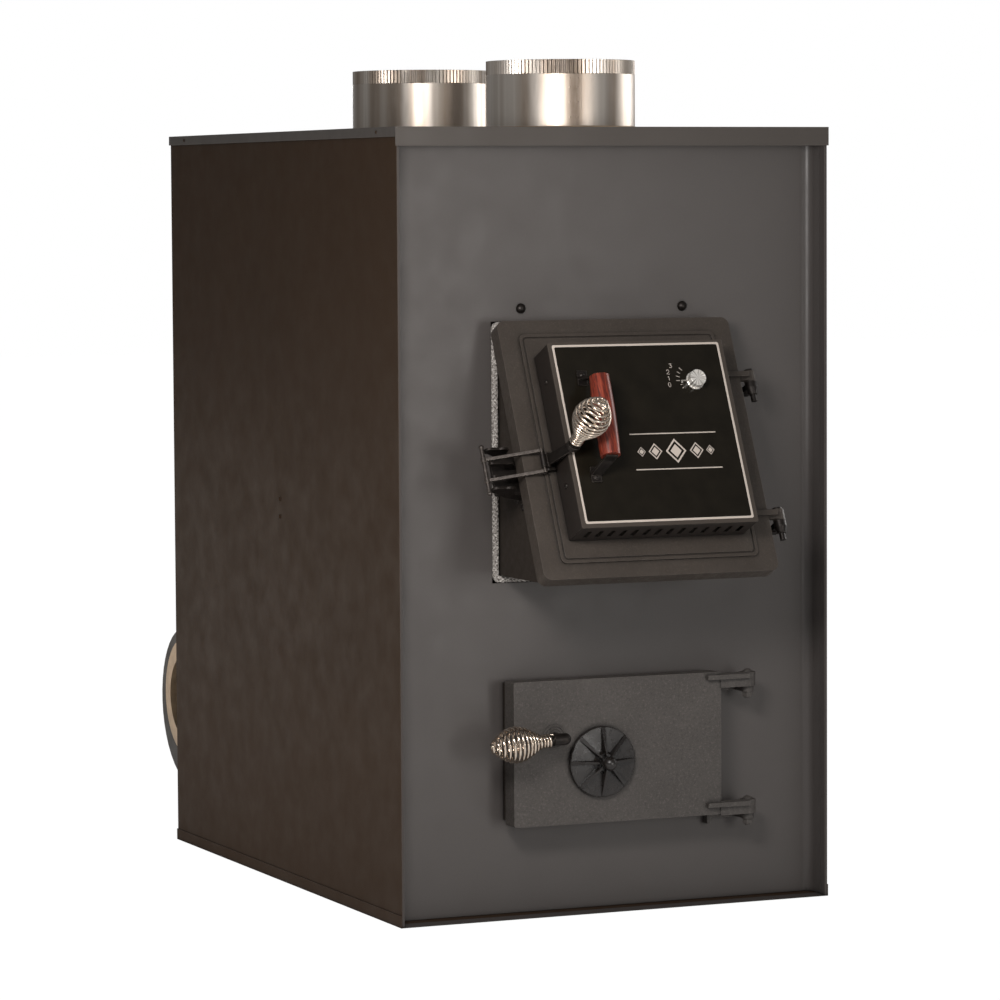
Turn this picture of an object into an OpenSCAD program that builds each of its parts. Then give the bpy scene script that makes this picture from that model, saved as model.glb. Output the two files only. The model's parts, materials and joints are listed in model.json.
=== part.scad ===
// Warm-air coal furnace in a sheet-metal cabinet.
// Origin: centre of the cabinet's footprint on the floor. The front faces -Y, up is +Z.

/* [Cabinet] */
// Width across the side panels
body_w = 630; // [600:1:700]
// Depth over the side panels
body_d = 892; // [880:1:960]
// Height of the cap above the floor
body_h = 1052; // [1030:1:1150]
// Thickness of the cabinet sheet
sheet = 1; // [0.9:0.1:1.5]
// How far the front panel lies behind the front edges
front_recess = 47.4; // [44:0.2:52]
// Bend radius at the sides of the front panel
front_bend = 12; // [8:1:16]
// Depth of the folded hem along the front edges
hem_len = 14; // [10:1:18]
// Height of the base pan's upturned edge
pan_lip = 16; // [10:1:30]
// Height of the cap's front edge
cap_front = 25; // [18:1:35]
// Height of the cap's side and rear edges
cap_side = 13; // [10:1:20]
// How far the cap overhangs the panels
cap_over = 1; // [0.6:0.1:2]

/* [Duct collars] */
// Radius of the collars over their plain stretch
duct_r = 101.6; // [95:0.1:110]
// Height of the collars above the cap
duct_h = 92; // [80:1:110]
// Height of the crimped band
crimp_h = 19; // [14:1:24]
// Number of crimps
crimps = 117; // [100:1:130]
// Depth of a crimp
crimp_depth = 1.6; // [1:0.1:2]
// Thickness of the collar sheet
duct_wall = 0.8; // [0.6:0.1:1]
// Place of the front collar along Y
duct_front_y = -266; // [-280:1:-250]
// Place of the rear collar along Y
duct_rear_y = 229; // [210:1:250]

/* [Feed chute] */
// Half width over the chute walls
chute_half = 152; // [149:0.5:155]
// Height of the chute's underside
chute_low = 456.5; // [450:0.5:463]
// Height of the chute's top
chute_high = 784; // [780:0.5:788]
// Thickness of the chute walls
chute_wall = 4; // [3:0.5:5]
// Diameter of the rope round the chute
rope_d = 10; // [8:0.5:12]

/* [Feed door] */
// Slope of the door away from upright
door_tilt = 25; // [23:0.5:27]
// Top edge of the door face along Y
door_y = -433.7; // [-437:0.1:-430]
// Top edge of the door face along Z
door_z = 796.4; // [792:0.1:800]
// Width of the door
door_w = 340; // [336:1:344]
// Length of the door down its slope
door_len = 365.4; // [360:0.2:370]
// Depth of the door's rim
door_t = 24; // [22:0.5:27]
// Thickness of the cast walls of the door
cast_wall = 8; // [6:0.5:9]
// Corner radius of the door
door_corner = 11; // [8:1:14]
// Inset of the raised field from the door's sides
field_in = 27; // [24:1:30]
// Height of the raised field
field_h = 3; // [2:0.5:4]

/* [Draft box] */
// Half width of the draft box
box_half = 127; // [120:1:130]
// Start of the draft box down the slope
box_top = 54; // [50:1:60]
// End of the draft box down the slope
box_end = 314; // [300:1:320]
// How far the box front stands out of the door face
box_out = 50; // [46:1:56]
// Number of air slots under the box
box_slots = 14; // [10:1:16]
// Length of one air slot
slot_len = 20; // [16:1:24]
// Width of one air slot
slot_w = 6; // [4:0.5:8]
// Radius of the air port through the door
port_r = 32; // [26:1:36]
// Radius of the draft knob
knob_r = 11.3; // [10:0.1:13]

/* [Wooden grip] */
// Radius of the grip at its ends
grip_r = 13; // [11:0.5:14]
// Radius of the grip at its middle
grip_mid_r = 14.5; // [13.5:0.5:16]
// Start of the grip down the slope
grip_top = 118; // [114:1:122]
// End of the grip down the slope
grip_end = 230; // [226:1:236]
// Height of the grip's axis above the door face
grip_out = 87; // [84:1:92]
// Place of the grip along X
grip_x = -80; // [-84:1:-76]

/* [Toggle latch] */
// Middle of the latch down the slope
latch_s = 205; // [200:1:210]
// Thickness of the rod of the latch bail
bail_d = 4; // [3:0.2:4.4]
// Thickness of the lever plates
lever_t = 3; // [2.4:0.2:3.4]
// Angle of the handle bar away from upright to the door
bar_lean = 15.5; // [13:0.5:16]

/* [Coil handles] */
// Thickness of the coil wire
wire_d = 3.4; // [3:0.1:3.5]
// Radius over the neck of a coil
coil_neck_r = 9.5; // [9:0.1:10]
// Radius over the widest turn
coil_max_r = 25; // [22:0.5:26]
// Radius over the last turn
coil_tip_r = 6; // [5.5:0.1:7]
// Length of the wound wire
coil_len = 90; // [84:1:96]
// Length of the close-wound neck
coil_neck = 13; // [12:1:16]
// Turns of the neck
neck_turns = 3; // [3:1:3]
// Turns of the bulge
bulge_turns = 12; // [10:1:13]

/* [Ash door] */
// Width of the ash door
ash_w = 306; // [298:1:310]
// Underside of the ash door
ash_low = 122.8; // [120:0.2:126]
// Top of the ash door
ash_high = 317; // [310:0.5:322]
// Depth of the ash door
ash_t = 30; // [26:0.5:32]
// How far the throat stands out of the front panel
throat_out = 17.7; // [16:0.1:20]
// Place of the latch shaft along X
shaft_x = -95; // [-99:1:-91]
// Place of the latch shaft along Z
shaft_z = 242; // [238:1:246]
// Radius of the latch shaft
shaft_r = 6; // [5:0.5:7]
// Place of the spinner along X
spin_x = -26.5; // [-28:0.5:-24]
// Place of the spinner along Z
spin_z = 205.5; // [202:0.5:210]
// Radius of the spinner
spin_r = 47.5; // [44:0.5:49]

/* [Hinges] */
// Radius of the hinge pins
pin_r = 4; // [3:0.1:5]
// Running clearance of pins and shafts
run_fit = 0.05; // [0.02:0.01:0.1]
// Place of the feed door's hinge axis along X
feed_hinge_x = 191; // [188:1:196]
// Place of the ash door's hinge axis along X
ash_hinge_x = 198; // [195:1:202]

/* [Firebox] */
// Half width of the firebox
fire_half = 200; // [195:1:215]
// Front of the firebox along Y
fire_front = -345; // [-350:1:-340]
// Rear of the firebox along Y
fire_rear = 300; // [280:1:320]
// Top of the firebox
fire_high = 880; // [860:1:900]
// Thickness of the firebox plate
fire_wall = 5; // [4:0.5:6]
// Thickness of the firebricks
brick_t = 31; // [28:1:35]
// Height of the side firebricks
brick_h = 115; // [100:1:125]
// Underside of the grate frame
grate_z = 330; // [326:1:336]
// Radius of the flue collar
flue_r = 76.2; // [70:0.1:80]
// Height of the flue collar's axis
flue_z = 728; // [715:1:735]

/* [Blower] */
// Left side of the blower housing along X
blower_x = -250; // [-256:1:-244]
// Width of the blower housing
blower_w = 180; // [170:1:190]
// Distance of the blower shaft behind the cabinet
blower_back = 144; // [142:1:155]
// Height of the blower shaft
blower_z = 197; // [194:1:204]
// Largest radius of the scroll
scroll_r = 133; // [131:1:138]
// Radius of the bladed wheel
wheel_r = 92; // [86:1:94]
// Number of blades
blades = 32; // [24:1:40]
// Radius of the inlet
inlet_r = 60; // [56:1:64]

/* [Hidden] */
fine = 64;
gap = 0.3;
eps = 1;

// Cabinet places
half_w = body_w / 2;
half_d = body_d / 2;
pan_top = sheet + gap;
cap_under = body_h - sheet - gap;
front_y = -half_d + front_recess;
skin = sheet + gap;
rail_x = half_w - skin;
ash_half = ash_w / 2;
throat_half = ash_half - 5;
throat_low = ash_low + 5;
throat_high = ash_high - 5;
throat_y = front_y - throat_out;
ash_back = throat_y - gap;
ash_face = ash_back - ash_t;
rear_y = half_d - sheet - gap;
blower_y = half_d + blower_back;
opening_half = chute_half + rope_d + 2 * gap;

// Door frame: x along the width, y into the door, z up its slope
module at_door() { translate([0, door_y, door_z]) rotate([-door_tilt, 0, 0]) children(); }
// Places a child at x, a distance down the slope and a height over the door face
module on_door(x, down, out) { at_door() translate([x, -out, -down]) children(); }
// Y of the plane that lies out over the door face, at a height z
function door_plane_y(z, out) =
    door_y - (door_z - z + out * sin(door_tilt)) * tan(door_tilt) - out * cos(door_tilt);
// Plate with rounded corners in the door frame, from out_lo to out_hi over the face
module door_slab(half, down_lo, down_hi, out_lo, out_hi, r) {
    at_door() translate([0, -out_lo, -down_hi]) rotate([90, 0, 0])
        linear_extrude(out_hi - out_lo) rounded(-half, half, 0, down_hi - down_lo, r);
}
module rounded(x0, x1, y0, y1, r) {
    translate([x0, y0 + r]) square([x1 - x0, y1 - y0 - 2 * r]);
    translate([x0 + r, y0]) square([x1 - x0 - 2 * r, y1 - y0]);
    for (x = [x0 + r, x1 - r], y = [y0 + r, y1 - r]) translate([x, y]) circle(r, $fn = fine);
}
module block(lo, hi) { translate(lo) cube(hi - lo); }
module rod_x(r, x0, x1) { translate([x0, 0, 0]) rotate([0, 90, 0]) cylinder(r = r, h = x1 - x0, $fn = fine); }
module rod_y(r, y0, y1) { translate([0, y1, 0]) rotate([90, 0, 0]) cylinder(r = r, h = y1 - y0, $fn = fine); }
module quarter_bend(r, t) {
    intersection() {
        difference() {
            circle(r + t, $fn = fine);
            circle(r, $fn = fine);
        }
        square(r + t);
    }
}
module dome(r, h) {
    intersection() {
        translate([0, 0, h - (r * r + h * h) / (2 * h)]) sphere((r * r + h * h) / (2 * h), $fn = fine);
        cylinder(r = r + eps, h = h + eps, $fn = fine);
    }
}

// Cabinet
module base_pan() {
    edge = half_w + skin;
    color([0.17, 0.14, 0.12]) difference() {
        block([-edge, -half_d - gap, 0], [edge, half_d + skin, pan_lip]);
        block([-edge + sheet, -half_d - gap - eps, sheet], [edge - sheet, half_d + gap, pan_lip + eps]);
    }
}
module side_panel_outline() {
    lip_x = flange_x - sheet - gap;
    block_2d(half_w - sheet, half_w, -half_d, half_d - gap);
    block_2d(lip_x - sheet, half_w, -half_d, -half_d + sheet);
    block_2d(lip_x - sheet, lip_x, -half_d, -half_d + hem_len);
}
module block_2d(x0, x1, y0, y1) { translate([x0, y0]) square([x1 - x0, y1 - y0]); }
module side_panel(side) {
    color([0.24, 0.19, 0.16]) mirror([side < 0 ? 1 : 0, 0, 0]) translate([0, 0, pan_top])
        linear_extrude(cap_under - pan_top) side_panel_outline();
}
module left_side_panel() { side_panel(-1); }
module right_side_panel() { side_panel(1); }
flange_x = half_w - sheet - gap;
module front_panel_outline() {
    bend_x = flange_x - sheet - front_bend;
    translate([-bend_x, front_y]) square([2 * bend_x, sheet]);
    for (side = [-1, 1]) mirror([side < 0 ? 1 : 0, 0]) {
        translate([bend_x, front_y - front_bend]) quarter_bend(front_bend, sheet);
        block_2d(flange_x - sheet, flange_x, -half_d + sheet + gap, front_y - front_bend);
    }
}
module front_panel() {
    color([0.32, 0.3, 0.28]) difference() {
        translate([0, 0, pan_top]) linear_extrude(cap_under - pan_top) front_panel_outline();
        block([-opening_half, front_y - eps, chute_low - rope_d - 2 * gap],
            [opening_half, front_y + sheet + eps, chute_high + rope_d + 2 * gap]);
        block([-throat_half - gap, front_y - eps, throat_low - gap],
            [throat_half + gap, front_y + sheet + eps, throat_high + gap]);
        for (x = bolt_xs) translate([x, 0, bolt_z]) rod_y(bolt_r + run_fit, front_y - eps, front_y + 3);
    }
}
outlet_lo = blower_z - scroll_r;
outlet_hi = blower_z - 20;
module back_panel() {
    color([0.2, 0.18, 0.17]) difference() {
        block([-rail_x, rear_y, pan_top], [rail_x, rear_y + sheet, cap_under]);
        translate([0, 0, flue_z]) rod_y(flue_r + 2 + gap, rear_y - eps, rear_y + sheet + eps);
        block([blower_x + sheet, rear_y - eps, outlet_lo + sheet],
            [blower_x + blower_w - sheet, rear_y + sheet + eps, outlet_hi - sheet]);
    }
}
module top_cap() {
    edge = half_w + cap_over;
    front = -half_d - cap_over;
    rear = half_d + cap_over;
    color([0.42, 0.39, 0.37]) difference() {
        block([-edge - sheet, front - sheet, body_h - cap_front], [edge + sheet, rear + sheet, body_h]);
        block([-edge, front, body_h - cap_front - eps], [edge, rear, body_h - sheet]);
        block([-edge - sheet - eps, front, body_h - cap_front - eps],
            [edge + sheet + eps, rear + sheet + eps, body_h - cap_side]);
        for (y = [duct_front_y, duct_rear_y])
            translate([0, y, body_h - sheet - eps]) cylinder(r = duct_r - duct_wall - 3, h = sheet + 2 * eps, $fn = fine);
    }
}
// Round collar: turned-out foot, plain tube, bead and a crimped band on top
function crimp_points(r) = [for (i = [0:2 * crimps - 1])
    let (a = i * 180 / crimps, d = i % 2 * crimp_depth) [(r - d) * cos(a), (r - d) * sin(a)]];
module duct_collar(y) {
    plain = duct_h - crimp_h;
    color([0.72, 0.7, 0.68]) translate([0, y, body_h]) {
        rotate_extrude($fn = 96) {
            translate([duct_r - duct_wall, gap]) square([duct_wall, plain - gap]);
            translate([duct_r - duct_wall, gap]) square([9, 1]);
            translate([duct_r - duct_wall - crimp_depth - 0.4, plain - 1.2]) square([duct_wall + crimp_depth + 0.4, 1.2]);
        }
        translate([0, 0, plain]) linear_extrude(crimp_h) difference() {
            polygon(crimp_points(duct_r - 0.1));
            polygon(crimp_points(duct_r - 0.1 - duct_wall));
        }
    }
}
module front_duct_collar() { duct_collar(duct_front_y); }
module rear_duct_collar() { duct_collar(duct_rear_y); }
bolt_r = 3;
bolt_z = 811.5;
bolt_xs = [-119, 119];
module round_head(r, h) { rotate([90, 0, 0]) dome(r, h); }
module front_panel_bolts() {
    color([0.2, 0.18, 0.17]) for (x = bolt_xs) translate([x, front_y - gap, bolt_z]) {
        round_head(7, 5.5);
        rod_y(bolt_r, -0.1, 12);
    }
}
screw_z = 515.1;
module cabinet_screws() {
    color([0.25, 0.2, 0.17]) {
        for (side = [-1, 1], z = [screw_z, screw_z + 24.3])
            translate([side * (half_w + 0.05), -2.5, z]) rotate([0, side * 90, 0]) dome(3.6, 2);
        for (side = [-1, 1], y = [-380, 380])
            translate([side * (half_w + cap_over + sheet + 0.05), y, body_h - cap_side / 2])
                rotate([0, side * 90, 0]) dome(2.6, 1.4);
    }
}

// Firebox and what it carries
fire_floor = throat_low;
module firebox_stand() {
    color([0.16, 0.15, 0.14]) for (y = [fire_front + 60, fire_rear - 110]) difference() {
        block([-fire_half + 10, y, pan_top], [fire_half - 10, y + 50, fire_floor - gap]);
        block([-fire_half, y + 5, pan_top - eps], [fire_half, y + 45, fire_floor - gap - 5]);
    }
}
module firebox_shell() {
    color([0.18, 0.16, 0.15]) difference() {
        block([-fire_half, fire_front, fire_floor], [fire_half, fire_rear, fire_high]);
        block([-fire_half + fire_wall, fire_front + fire_wall, fire_floor + fire_wall],
            [fire_half - fire_wall, fire_rear - fire_wall, fire_high - fire_wall]);
        block([-chute_half - gap, fire_front - eps, chute_low - gap],
            [chute_half + gap, fire_front + fire_wall + eps, chute_high + gap]);
        block([-throat_half - gap, fire_front - eps, fire_floor + fire_wall],
            [throat_half + gap, fire_front + fire_wall + eps, throat_high + gap]);
        translate([0, 0, flue_z]) rod_y(flue_r + gap, fire_rear - fire_wall - eps, fire_rear + eps);
    }
}
rim_out = -door_t - 0.5;
module chute_prism(half, low, high, back, out) {
    rotate([90, 0, 90]) translate([0, 0, -half]) linear_extrude(2 * half)
        polygon([[back, low], [back, high], [door_plane_y(high, out), high], [door_plane_y(low, out), low]]);
}
module feed_chute() {
    color([0.2, 0.18, 0.16]) difference() {
        chute_prism(chute_half, chute_low, chute_high, fire_front + fire_wall + 20, rim_out);
        chute_prism(chute_half - chute_wall, chute_low + chute_wall, chute_high - chute_wall,
            fire_front + 60, rim_out + 40);
        for (p = chute_bolt_places) translate([0, p[0], p[1]])
            rod_x(2.5 + run_fit, -chute_half - eps, -chute_half + chute_wall + eps);
    }
}
chute_bolt_places = [[-459.6, 561], [-477.5, 552]];
module chute_bolts() {
    color([0.22, 0.2, 0.19]) for (p = chute_bolt_places) translate([-chute_half, p[0], p[1]]) {
        translate([-0.05, 0, 0]) rotate([0, -90, 0]) dome(5, 3.4);
        rod_x(2.5, -0.1, chute_wall + 2);
    }
}
// Rope laid round the chute in the opening of the front panel
module chute_rope() {
    inner = chute_half + gap;
    color([0.72, 0.7, 0.67]) difference() {
        block([-inner - rope_d, front_y - 3, chute_low - gap - rope_d],
            [inner + rope_d, front_y - 3 + rope_d, chute_high + gap + rope_d]);
        block([-inner, front_y - 4, chute_low - gap], [inner, front_y + rope_d, chute_high + gap]);
    }
}
module ash_throat() {
    color([0.17, 0.16, 0.15]) difference() {
        block([-throat_half, throat_y, throat_low], [throat_half, fire_front - gap, throat_high]);
        block([-throat_half + 5, throat_y - eps, throat_low + fire_wall],
            [throat_half - 5, fire_front + eps, throat_high - 5]);
    }
}
module flue_collar() {
    color([0.2, 0.18, 0.17]) translate([0, 0, flue_z]) difference() {
        union() {
            rod_y(flue_r, fire_rear - 30, half_d + 60);
            rod_y(flue_r + 2, half_d + 20, half_d + 26);
            rod_y(flue_r + 12, fire_rear + gap, fire_rear + gap + 4);
        }
        rod_y(flue_r - 2, fire_rear - 31, half_d + 61);
    }
}
brick_z = grate_z + 25;
fire_in = fire_half - fire_wall - gap;
inner_front = fire_front + fire_wall + gap;
inner_rear = fire_rear - fire_wall - gap;
module side_firebricks() {
    bricks = 5;
    length = (inner_rear - inner_front) / bricks;
    color([0.72, 0.55, 0.38]) for (side = [-1, 1], i = [0:bricks - 1]) {
        x = side < 0 ? -fire_in : fire_in - brick_t;
        block([x, inner_front + i * length, brick_z], [x + brick_t, inner_front + (i + 1) * length - gap, brick_z + brick_h]);
    }
}
module end_firebricks() {
    half = fire_in - brick_t - gap;
    color([0.72, 0.55, 0.38]) for (side = [0, 1], i = [-1, 0]) {
        y = side == 0 ? inner_front : inner_rear - brick_t;
        high = side == 0 ? chute_low - 1 : brick_z + brick_h;
        block([i * half, y, brick_z], [(i + 1) * half - gap, y + brick_t, high]);
    }
}
// Cast frame that stands on the firebox floor and carries the bars and bricks
grate_bars = 4;
grate_half = fire_in - 60;
grate_front = inner_front + 45;
grate_rear = inner_rear - 45;
bar_pitch = (grate_rear - grate_front) / grate_bars;
function bar_y(i) = grate_front + (i + 0.5) * bar_pitch;
axle_z = grate_z + 12;
axle_r = 8;
module grate_frame() {
    color([0.2, 0.19, 0.18]) difference() {
        union() {
            block([-fire_in, inner_front, grate_z], [fire_in, inner_rear, grate_z + 25 - gap]);
            for (x = [-fire_in, fire_in - 8], y = [inner_front, inner_rear - 30])
                block([x, y, fire_floor + fire_wall + gap], [x + 8, y + 30, grate_z + 1]);
        }
        block([-grate_half, grate_front, grate_z - eps], [grate_half, grate_rear, grate_z + 30]);
        for (i = [0:grate_bars - 1]) translate([0, bar_y(i), axle_z])
            rod_x(axle_r + run_fit, -grate_half - 30, grate_half + 30);
    }
}
// Rocking bar: axle, spine and slotted fingers, with an arm down to the tie bar
arm_z = 44;
tie_x = 40;
module grate_bar(i) {
    reach = bar_pitch / 2 - 3;
    fingers = 9;
    step = (2 * grate_half - 20) / fingers;
    color([0.22, 0.21, 0.2]) translate([0, bar_y(i), axle_z]) {
        rod_x(axle_r, -grate_half - 25, grate_half + 25);
        for (k = [0:fingers - 1]) translate([-grate_half + 10 + k * step, 0, 0]) intersection() {
            block([0, -reach, 2], [step - 8, reach, 12]);
            rotate([90, 0, 90]) translate([0, 0, 0]) cylinder(r = reach, h = step - 8, $fn = fine);
        }
        block([-grate_half + 10, -9, 0], [grate_half - 18, 9, 10]);
        block([tie_x - 6, -7, -arm_z + 5], [tie_x, 7, 0]);
        translate([0, 0, -arm_z]) {
            rod_x(9, tie_x - 6, tie_x);
            rod_x(4, tie_x - 1, tie_x + 8);
        }
    }
}
module grate_bar_1() { grate_bar(0); }
module grate_bar_2() { grate_bar(1); }
module grate_bar_3() { grate_bar(2); }
module grate_bar_4() { grate_bar(3); }
module grate_tie_bar() {
    color([0.3, 0.29, 0.28]) difference() {
        block([tie_x + gap, bar_y(0) - 60, axle_z - arm_z - 10], [tie_x + gap + 6, bar_y(3) + 12, axle_z - arm_z + 10]);
        for (i = [0:3]) translate([0, bar_y(i), axle_z - arm_z]) rod_x(4 + run_fit, tie_x, tie_x + 9);
        translate([0, bar_y(0) - 48, axle_z - arm_z]) rod_x(5, tie_x, tie_x + 9);
    }
}
module baffle_plate() {
    z = chute_high + 30;
    color([0.2, 0.18, 0.17]) block([-fire_in, inner_front + 120, z], [fire_in, inner_rear, z + 6]);
}

// Feed door
module feed_door_plate() {
    half = door_w / 2;
    color([0.25, 0.23, 0.21]) difference() {
        union() {
            door_slab(half, 0, door_len, -door_t, 0, door_corner);
            door_slab(half - field_in, field_low, door_len - field_low, -eps, field_h, 8);
            feed_arms();
            for (side = [-1, 1]) on_door(side * (port_r + 18), flap_s, flap_out) {
                block([-3, 0, -5], [3, flap_out, 5]);
                rod_x(5, -3, 3);
            }
        }
        door_slab(half - cast_wall, cast_wall, door_len - cast_wall, -door_t - eps, -cast_wall, 5);
        field_groove();
        on_door(0, port_s, 0) rod_y(port_r, -field_h - eps, door_t);
        on_door(0, flap_s, flap_out) rod_x(flap_r + run_fit, -port_r - 25, port_r + 25);
        for (s = feed_hinge_s) on_door(feed_hinge_x, s, hinge_out)
            translate([0, 0, -eps]) cylinder(r = pin_r + run_fit, h = barrel_h + 2 * eps, $fn = fine);
    }
    color([0.25, 0.23, 0.21]) gasket_channel();
}
field_low = 21;
port_s = 200;
hinge_out = -12;
barrel_h = 15;
barrel_r = 8.5;
feed_hinge_s = [92, 292];
module feed_arms() {
    for (s = feed_hinge_s) on_door(0, s, hinge_out) {
        translate([feed_hinge_x, 0, 0]) cylinder(r = barrel_r, h = barrel_h, $fn = fine);
        block([door_w / 2 - 6, -9, 1], [feed_hinge_x, -1, barrel_h - 1]);
        block([door_w / 2 - 22, -15.5, 4], [feed_hinge_x - 8, -8, barrel_h - 4]);
    }
}
module field_groove() {
    inset = field_in + 4;
    half = door_w / 2 - inset;
    difference() {
        door_slab(half, field_low + 4, door_len - field_low - 4, field_h - 1.6, field_h + eps, 6);
        door_slab(half - 2.5, field_low + 6.5, door_len - field_low - 6.5, field_h - 3, field_h + 2, 4);
    }
}
// Channel in the back of the door that holds the sealing rope over the chute's rim
rim_mid = chute_half - chute_wall / 2;
chute_rim_top = (door_z - chute_high + rim_out * sin(door_tilt)) / cos(door_tilt);
chute_rim_end = (door_z - chute_low + rim_out * sin(door_tilt)) / cos(door_tilt);
module rim_ring(side, out_lo, out_hi) {
    difference() {
        door_slab(rim_mid + side, chute_rim_top + 2 - side + 7, chute_rim_end - 2 + side - 3, out_lo, out_hi, 3);
        door_slab(rim_mid + side - 4, chute_rim_top + 2 - side + 11, chute_rim_end - 2 + side - 7,
            out_lo - eps, out_hi + eps, 2);
    }
}
module gasket_channel() { rim_ring(-6, -door_t + 4, -cast_wall + 0.5); }
module feed_door_gasket() {
    half = door_w / 2 - cast_wall - gap;
    color([0.7, 0.68, 0.66]) difference() {
        door_slab(half, cast_wall + gap, door_len - cast_wall - gap, -door_t - 0.2, -cast_wall - gap, 5);
        door_slab(rim_mid - 6 + gap, chute_rim_top + 15 - gap, chute_rim_end - 11 + gap,
            -door_t - eps, -cast_wall + eps, 2);
    }
}
module feed_door_shield() {
    half = rim_mid - 22;
    color([0.3, 0.28, 0.27]) difference() {
        union() {
            door_slab(half, 34, door_len - 34, -door_t - 6, -door_t - 3, 4);
            for (x = [-half + 20, half - 20], s = [60, door_len - 60])
                on_door(x, s, 0) rod_y(6, cast_wall + gap, door_t + 4);
        }
        for (s = [port_s - 60:20:port_s + 60], x = [-50:20:50])
            on_door(x, s, 0) rod_y(4, door_t + 2, door_t + 7);
    }
}
module draft_box() {
    color([0.15, 0.13, 0.12]) difference() {
        door_slab(box_half, box_top, box_end, field_h + gap, box_out - panel_t - gap, 2);
        door_slab(box_half - sheet, box_top + sheet, box_end - sheet, field_h - eps, box_out + eps, 1);
        slot_pitch = (2 * box_half - 34) / (box_slots - 1);
        for (i = [0:box_slots - 1]) on_door(-box_half + 17 + i * slot_pitch, box_end, 25)
            block([-slot_w / 2, -slot_len / 2, -eps], [slot_w / 2, slot_len / 2, 4]);
    }
    color([0.15, 0.13, 0.12]) for (side = [-1, 1]) for (s = box_screw_s)
        on_door(side * (box_half - sheet - 5), s, 6) block([-5, 0, -6], [5, 2.2, 6]);
}
panel_t = 2.5;
box_screw_s = [99, 246];
module draft_panel() {
    color([0.1, 0.09, 0.08]) difference() {
        door_slab(box_half, box_top, box_end, box_out - panel_t, box_out, 2);
        on_door(knob_x, knob_s, 0) rod_y(knob_shaft + run_fit, -box_out - eps, -box_out + panel_t + eps);
    }
}
module draft_box_screws() {
    color([0.3, 0.27, 0.25]) for (side = [-1, 1], s = box_screw_s)
        on_door(side * (box_half + 0.05), s, 25) rotate([0, side * 90, 0]) dome(4, 2.6);
}
knob_x = 75.5;
knob_s = 112.5;
knob_shaft = 3;
module draft_knob() {
    color([0.8, 0.8, 0.8]) on_door(knob_x, knob_s, box_out + gap) {
        difference() {
            rod_y(knob_r, -12, -2);
            translate([0, -12.2, 0]) rod_y(knob_r - 1.6, -0.4, 0.7);
        }
        rod_y(knob_r + 1.2, -2, 0);
        rod_y(knob_shaft, -eps, 24);
        // Wire pointer with a kink at its end
        block([-knob_r - 7.5, -2, -0.8], [-knob_r, -0.5, 0.8]);
        block([-knob_r - 9, -2, -2.6], [-knob_r - 7, -0.5, 0.8]);
    }
}
// Bimetal strip wound as a flat spiral round the end of the knob's shaft
module thermostat_coil() {
    turns = 3.5;
    steps = 56;
    function turn(i, d) = let (a = i * 360 * turns / steps, r = 6 + i * 16 / steps + d) [r * cos(a), r * sin(a)];
    spiral = concat([for (i = [0:steps]) turn(i, 0)], [for (i = [steps:-1:0]) turn(i, 1)]);
    color([0.7, 0.5, 0.3]) on_door(knob_x, knob_s, box_out - 22) rotate([90, 0, 0]) {
        linear_extrude(8) polygon(spiral);
    }
    color([0.5, 0.5, 0.5]) on_door(knob_x, knob_s, field_h + gap) rotate([90, 0, 0]) difference() {
        linear_extrude(box_out - 22 - field_h - gap) translate([-26, -5]) square([52, 10]);
        translate([-17, -6, 3]) cube([34, 12, 60]);
    }
}
flap_s = port_s - port_r - 12;
flap_len = 2 * port_r + 22;
flap_r = 2.5;
flap_out = field_h + gap + flap_r;
module draft_flap() {
    half = port_r + 10;
    color([0.35, 0.33, 0.31]) on_door(0, flap_s, flap_out) {
        rod_x(flap_r, -half - 12, half + 12);
        block([-half, flap_r - 2, -flap_len], [half, flap_r, 0]);
        block([-3, -14, -30], [3, flap_r - 2, -26]);
    }
}
grip_lean = 3;
// Places a child on the grip, which leans a little across the panel
module on_grip(x, down, out) {
    at_door() translate([grip_x, 0, -grip_top]) rotate([0, grip_lean, 0])
        translate([x - grip_x, -out, grip_top - down]) children();
}
module wood_grip() {
    length = grip_end - grip_top;
    rise = grip_mid_r - grip_r;
    arc = (length * length / 4 + rise * rise) / (2 * rise);
    color([0.5, 0.2, 0.14]) on_grip(grip_x, grip_end, grip_out) rotate_extrude($fn = fine) intersection() {
        translate([0, 0]) square([grip_mid_r + 1, length]);
        translate([grip_mid_r - arc, length / 2]) circle(arc, $fn = 720);
        translate([0, 1]) rounded(-20, grip_r + 1.6, -1, length - 1, 1.6);
    }
}
bracket_x = -88;
module grip_brackets() {
    color([0.16, 0.15, 0.14]) for (end = [0, 1]) {
        s_end = end == 0 ? grip_top : grip_end;
        dir = end == 0 ? 1 : -1;
        foot = s_end - dir * 12;
        hull() {
            on_grip(grip_x, s_end - dir * (1.25 + gap), grip_out) block([-8, -6, -1.2], [8, 8, 1.2]);
            on_grip(grip_x, s_end - dir * (2 + gap), grip_out - 8) block([-8, -1, -1.2], [8, 1, 1.2]);
        }
        hull() {
            on_grip(grip_x, s_end - dir * (2 + gap), grip_out - 8) block([-8, -1, -1.2], [8, 1, 1.2]);
            on_grip(bracket_x, foot, box_out + gap + 1.2) block([-7, -1.2, -2], [7, 1.2, 2]);
        }
        on_grip(bracket_x, foot, box_out + gap) block([-7, -2.5, -10.5], [7, 0, 10.5]);
        on_grip(bracket_x, foot + dir * -4, box_out + gap + 2.4) rotate([90, 0, 0]) dome(3.4, 2.2);
    }
}

// Toggle latch. In the plane across the latch a place is [x, height over the door face].
lever_at = [-139, 8];
bail_at = [-147, 14];
hook_at = [-218, -15];
hook_r = 2.6;
leg_s = 14.5;
cheek_s = leg_s - bail_d / 2 - gap - lever_t;
wing_s = 26;
module across(p, s) { on_door(p[0], s, p[1]) children(); }
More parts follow.
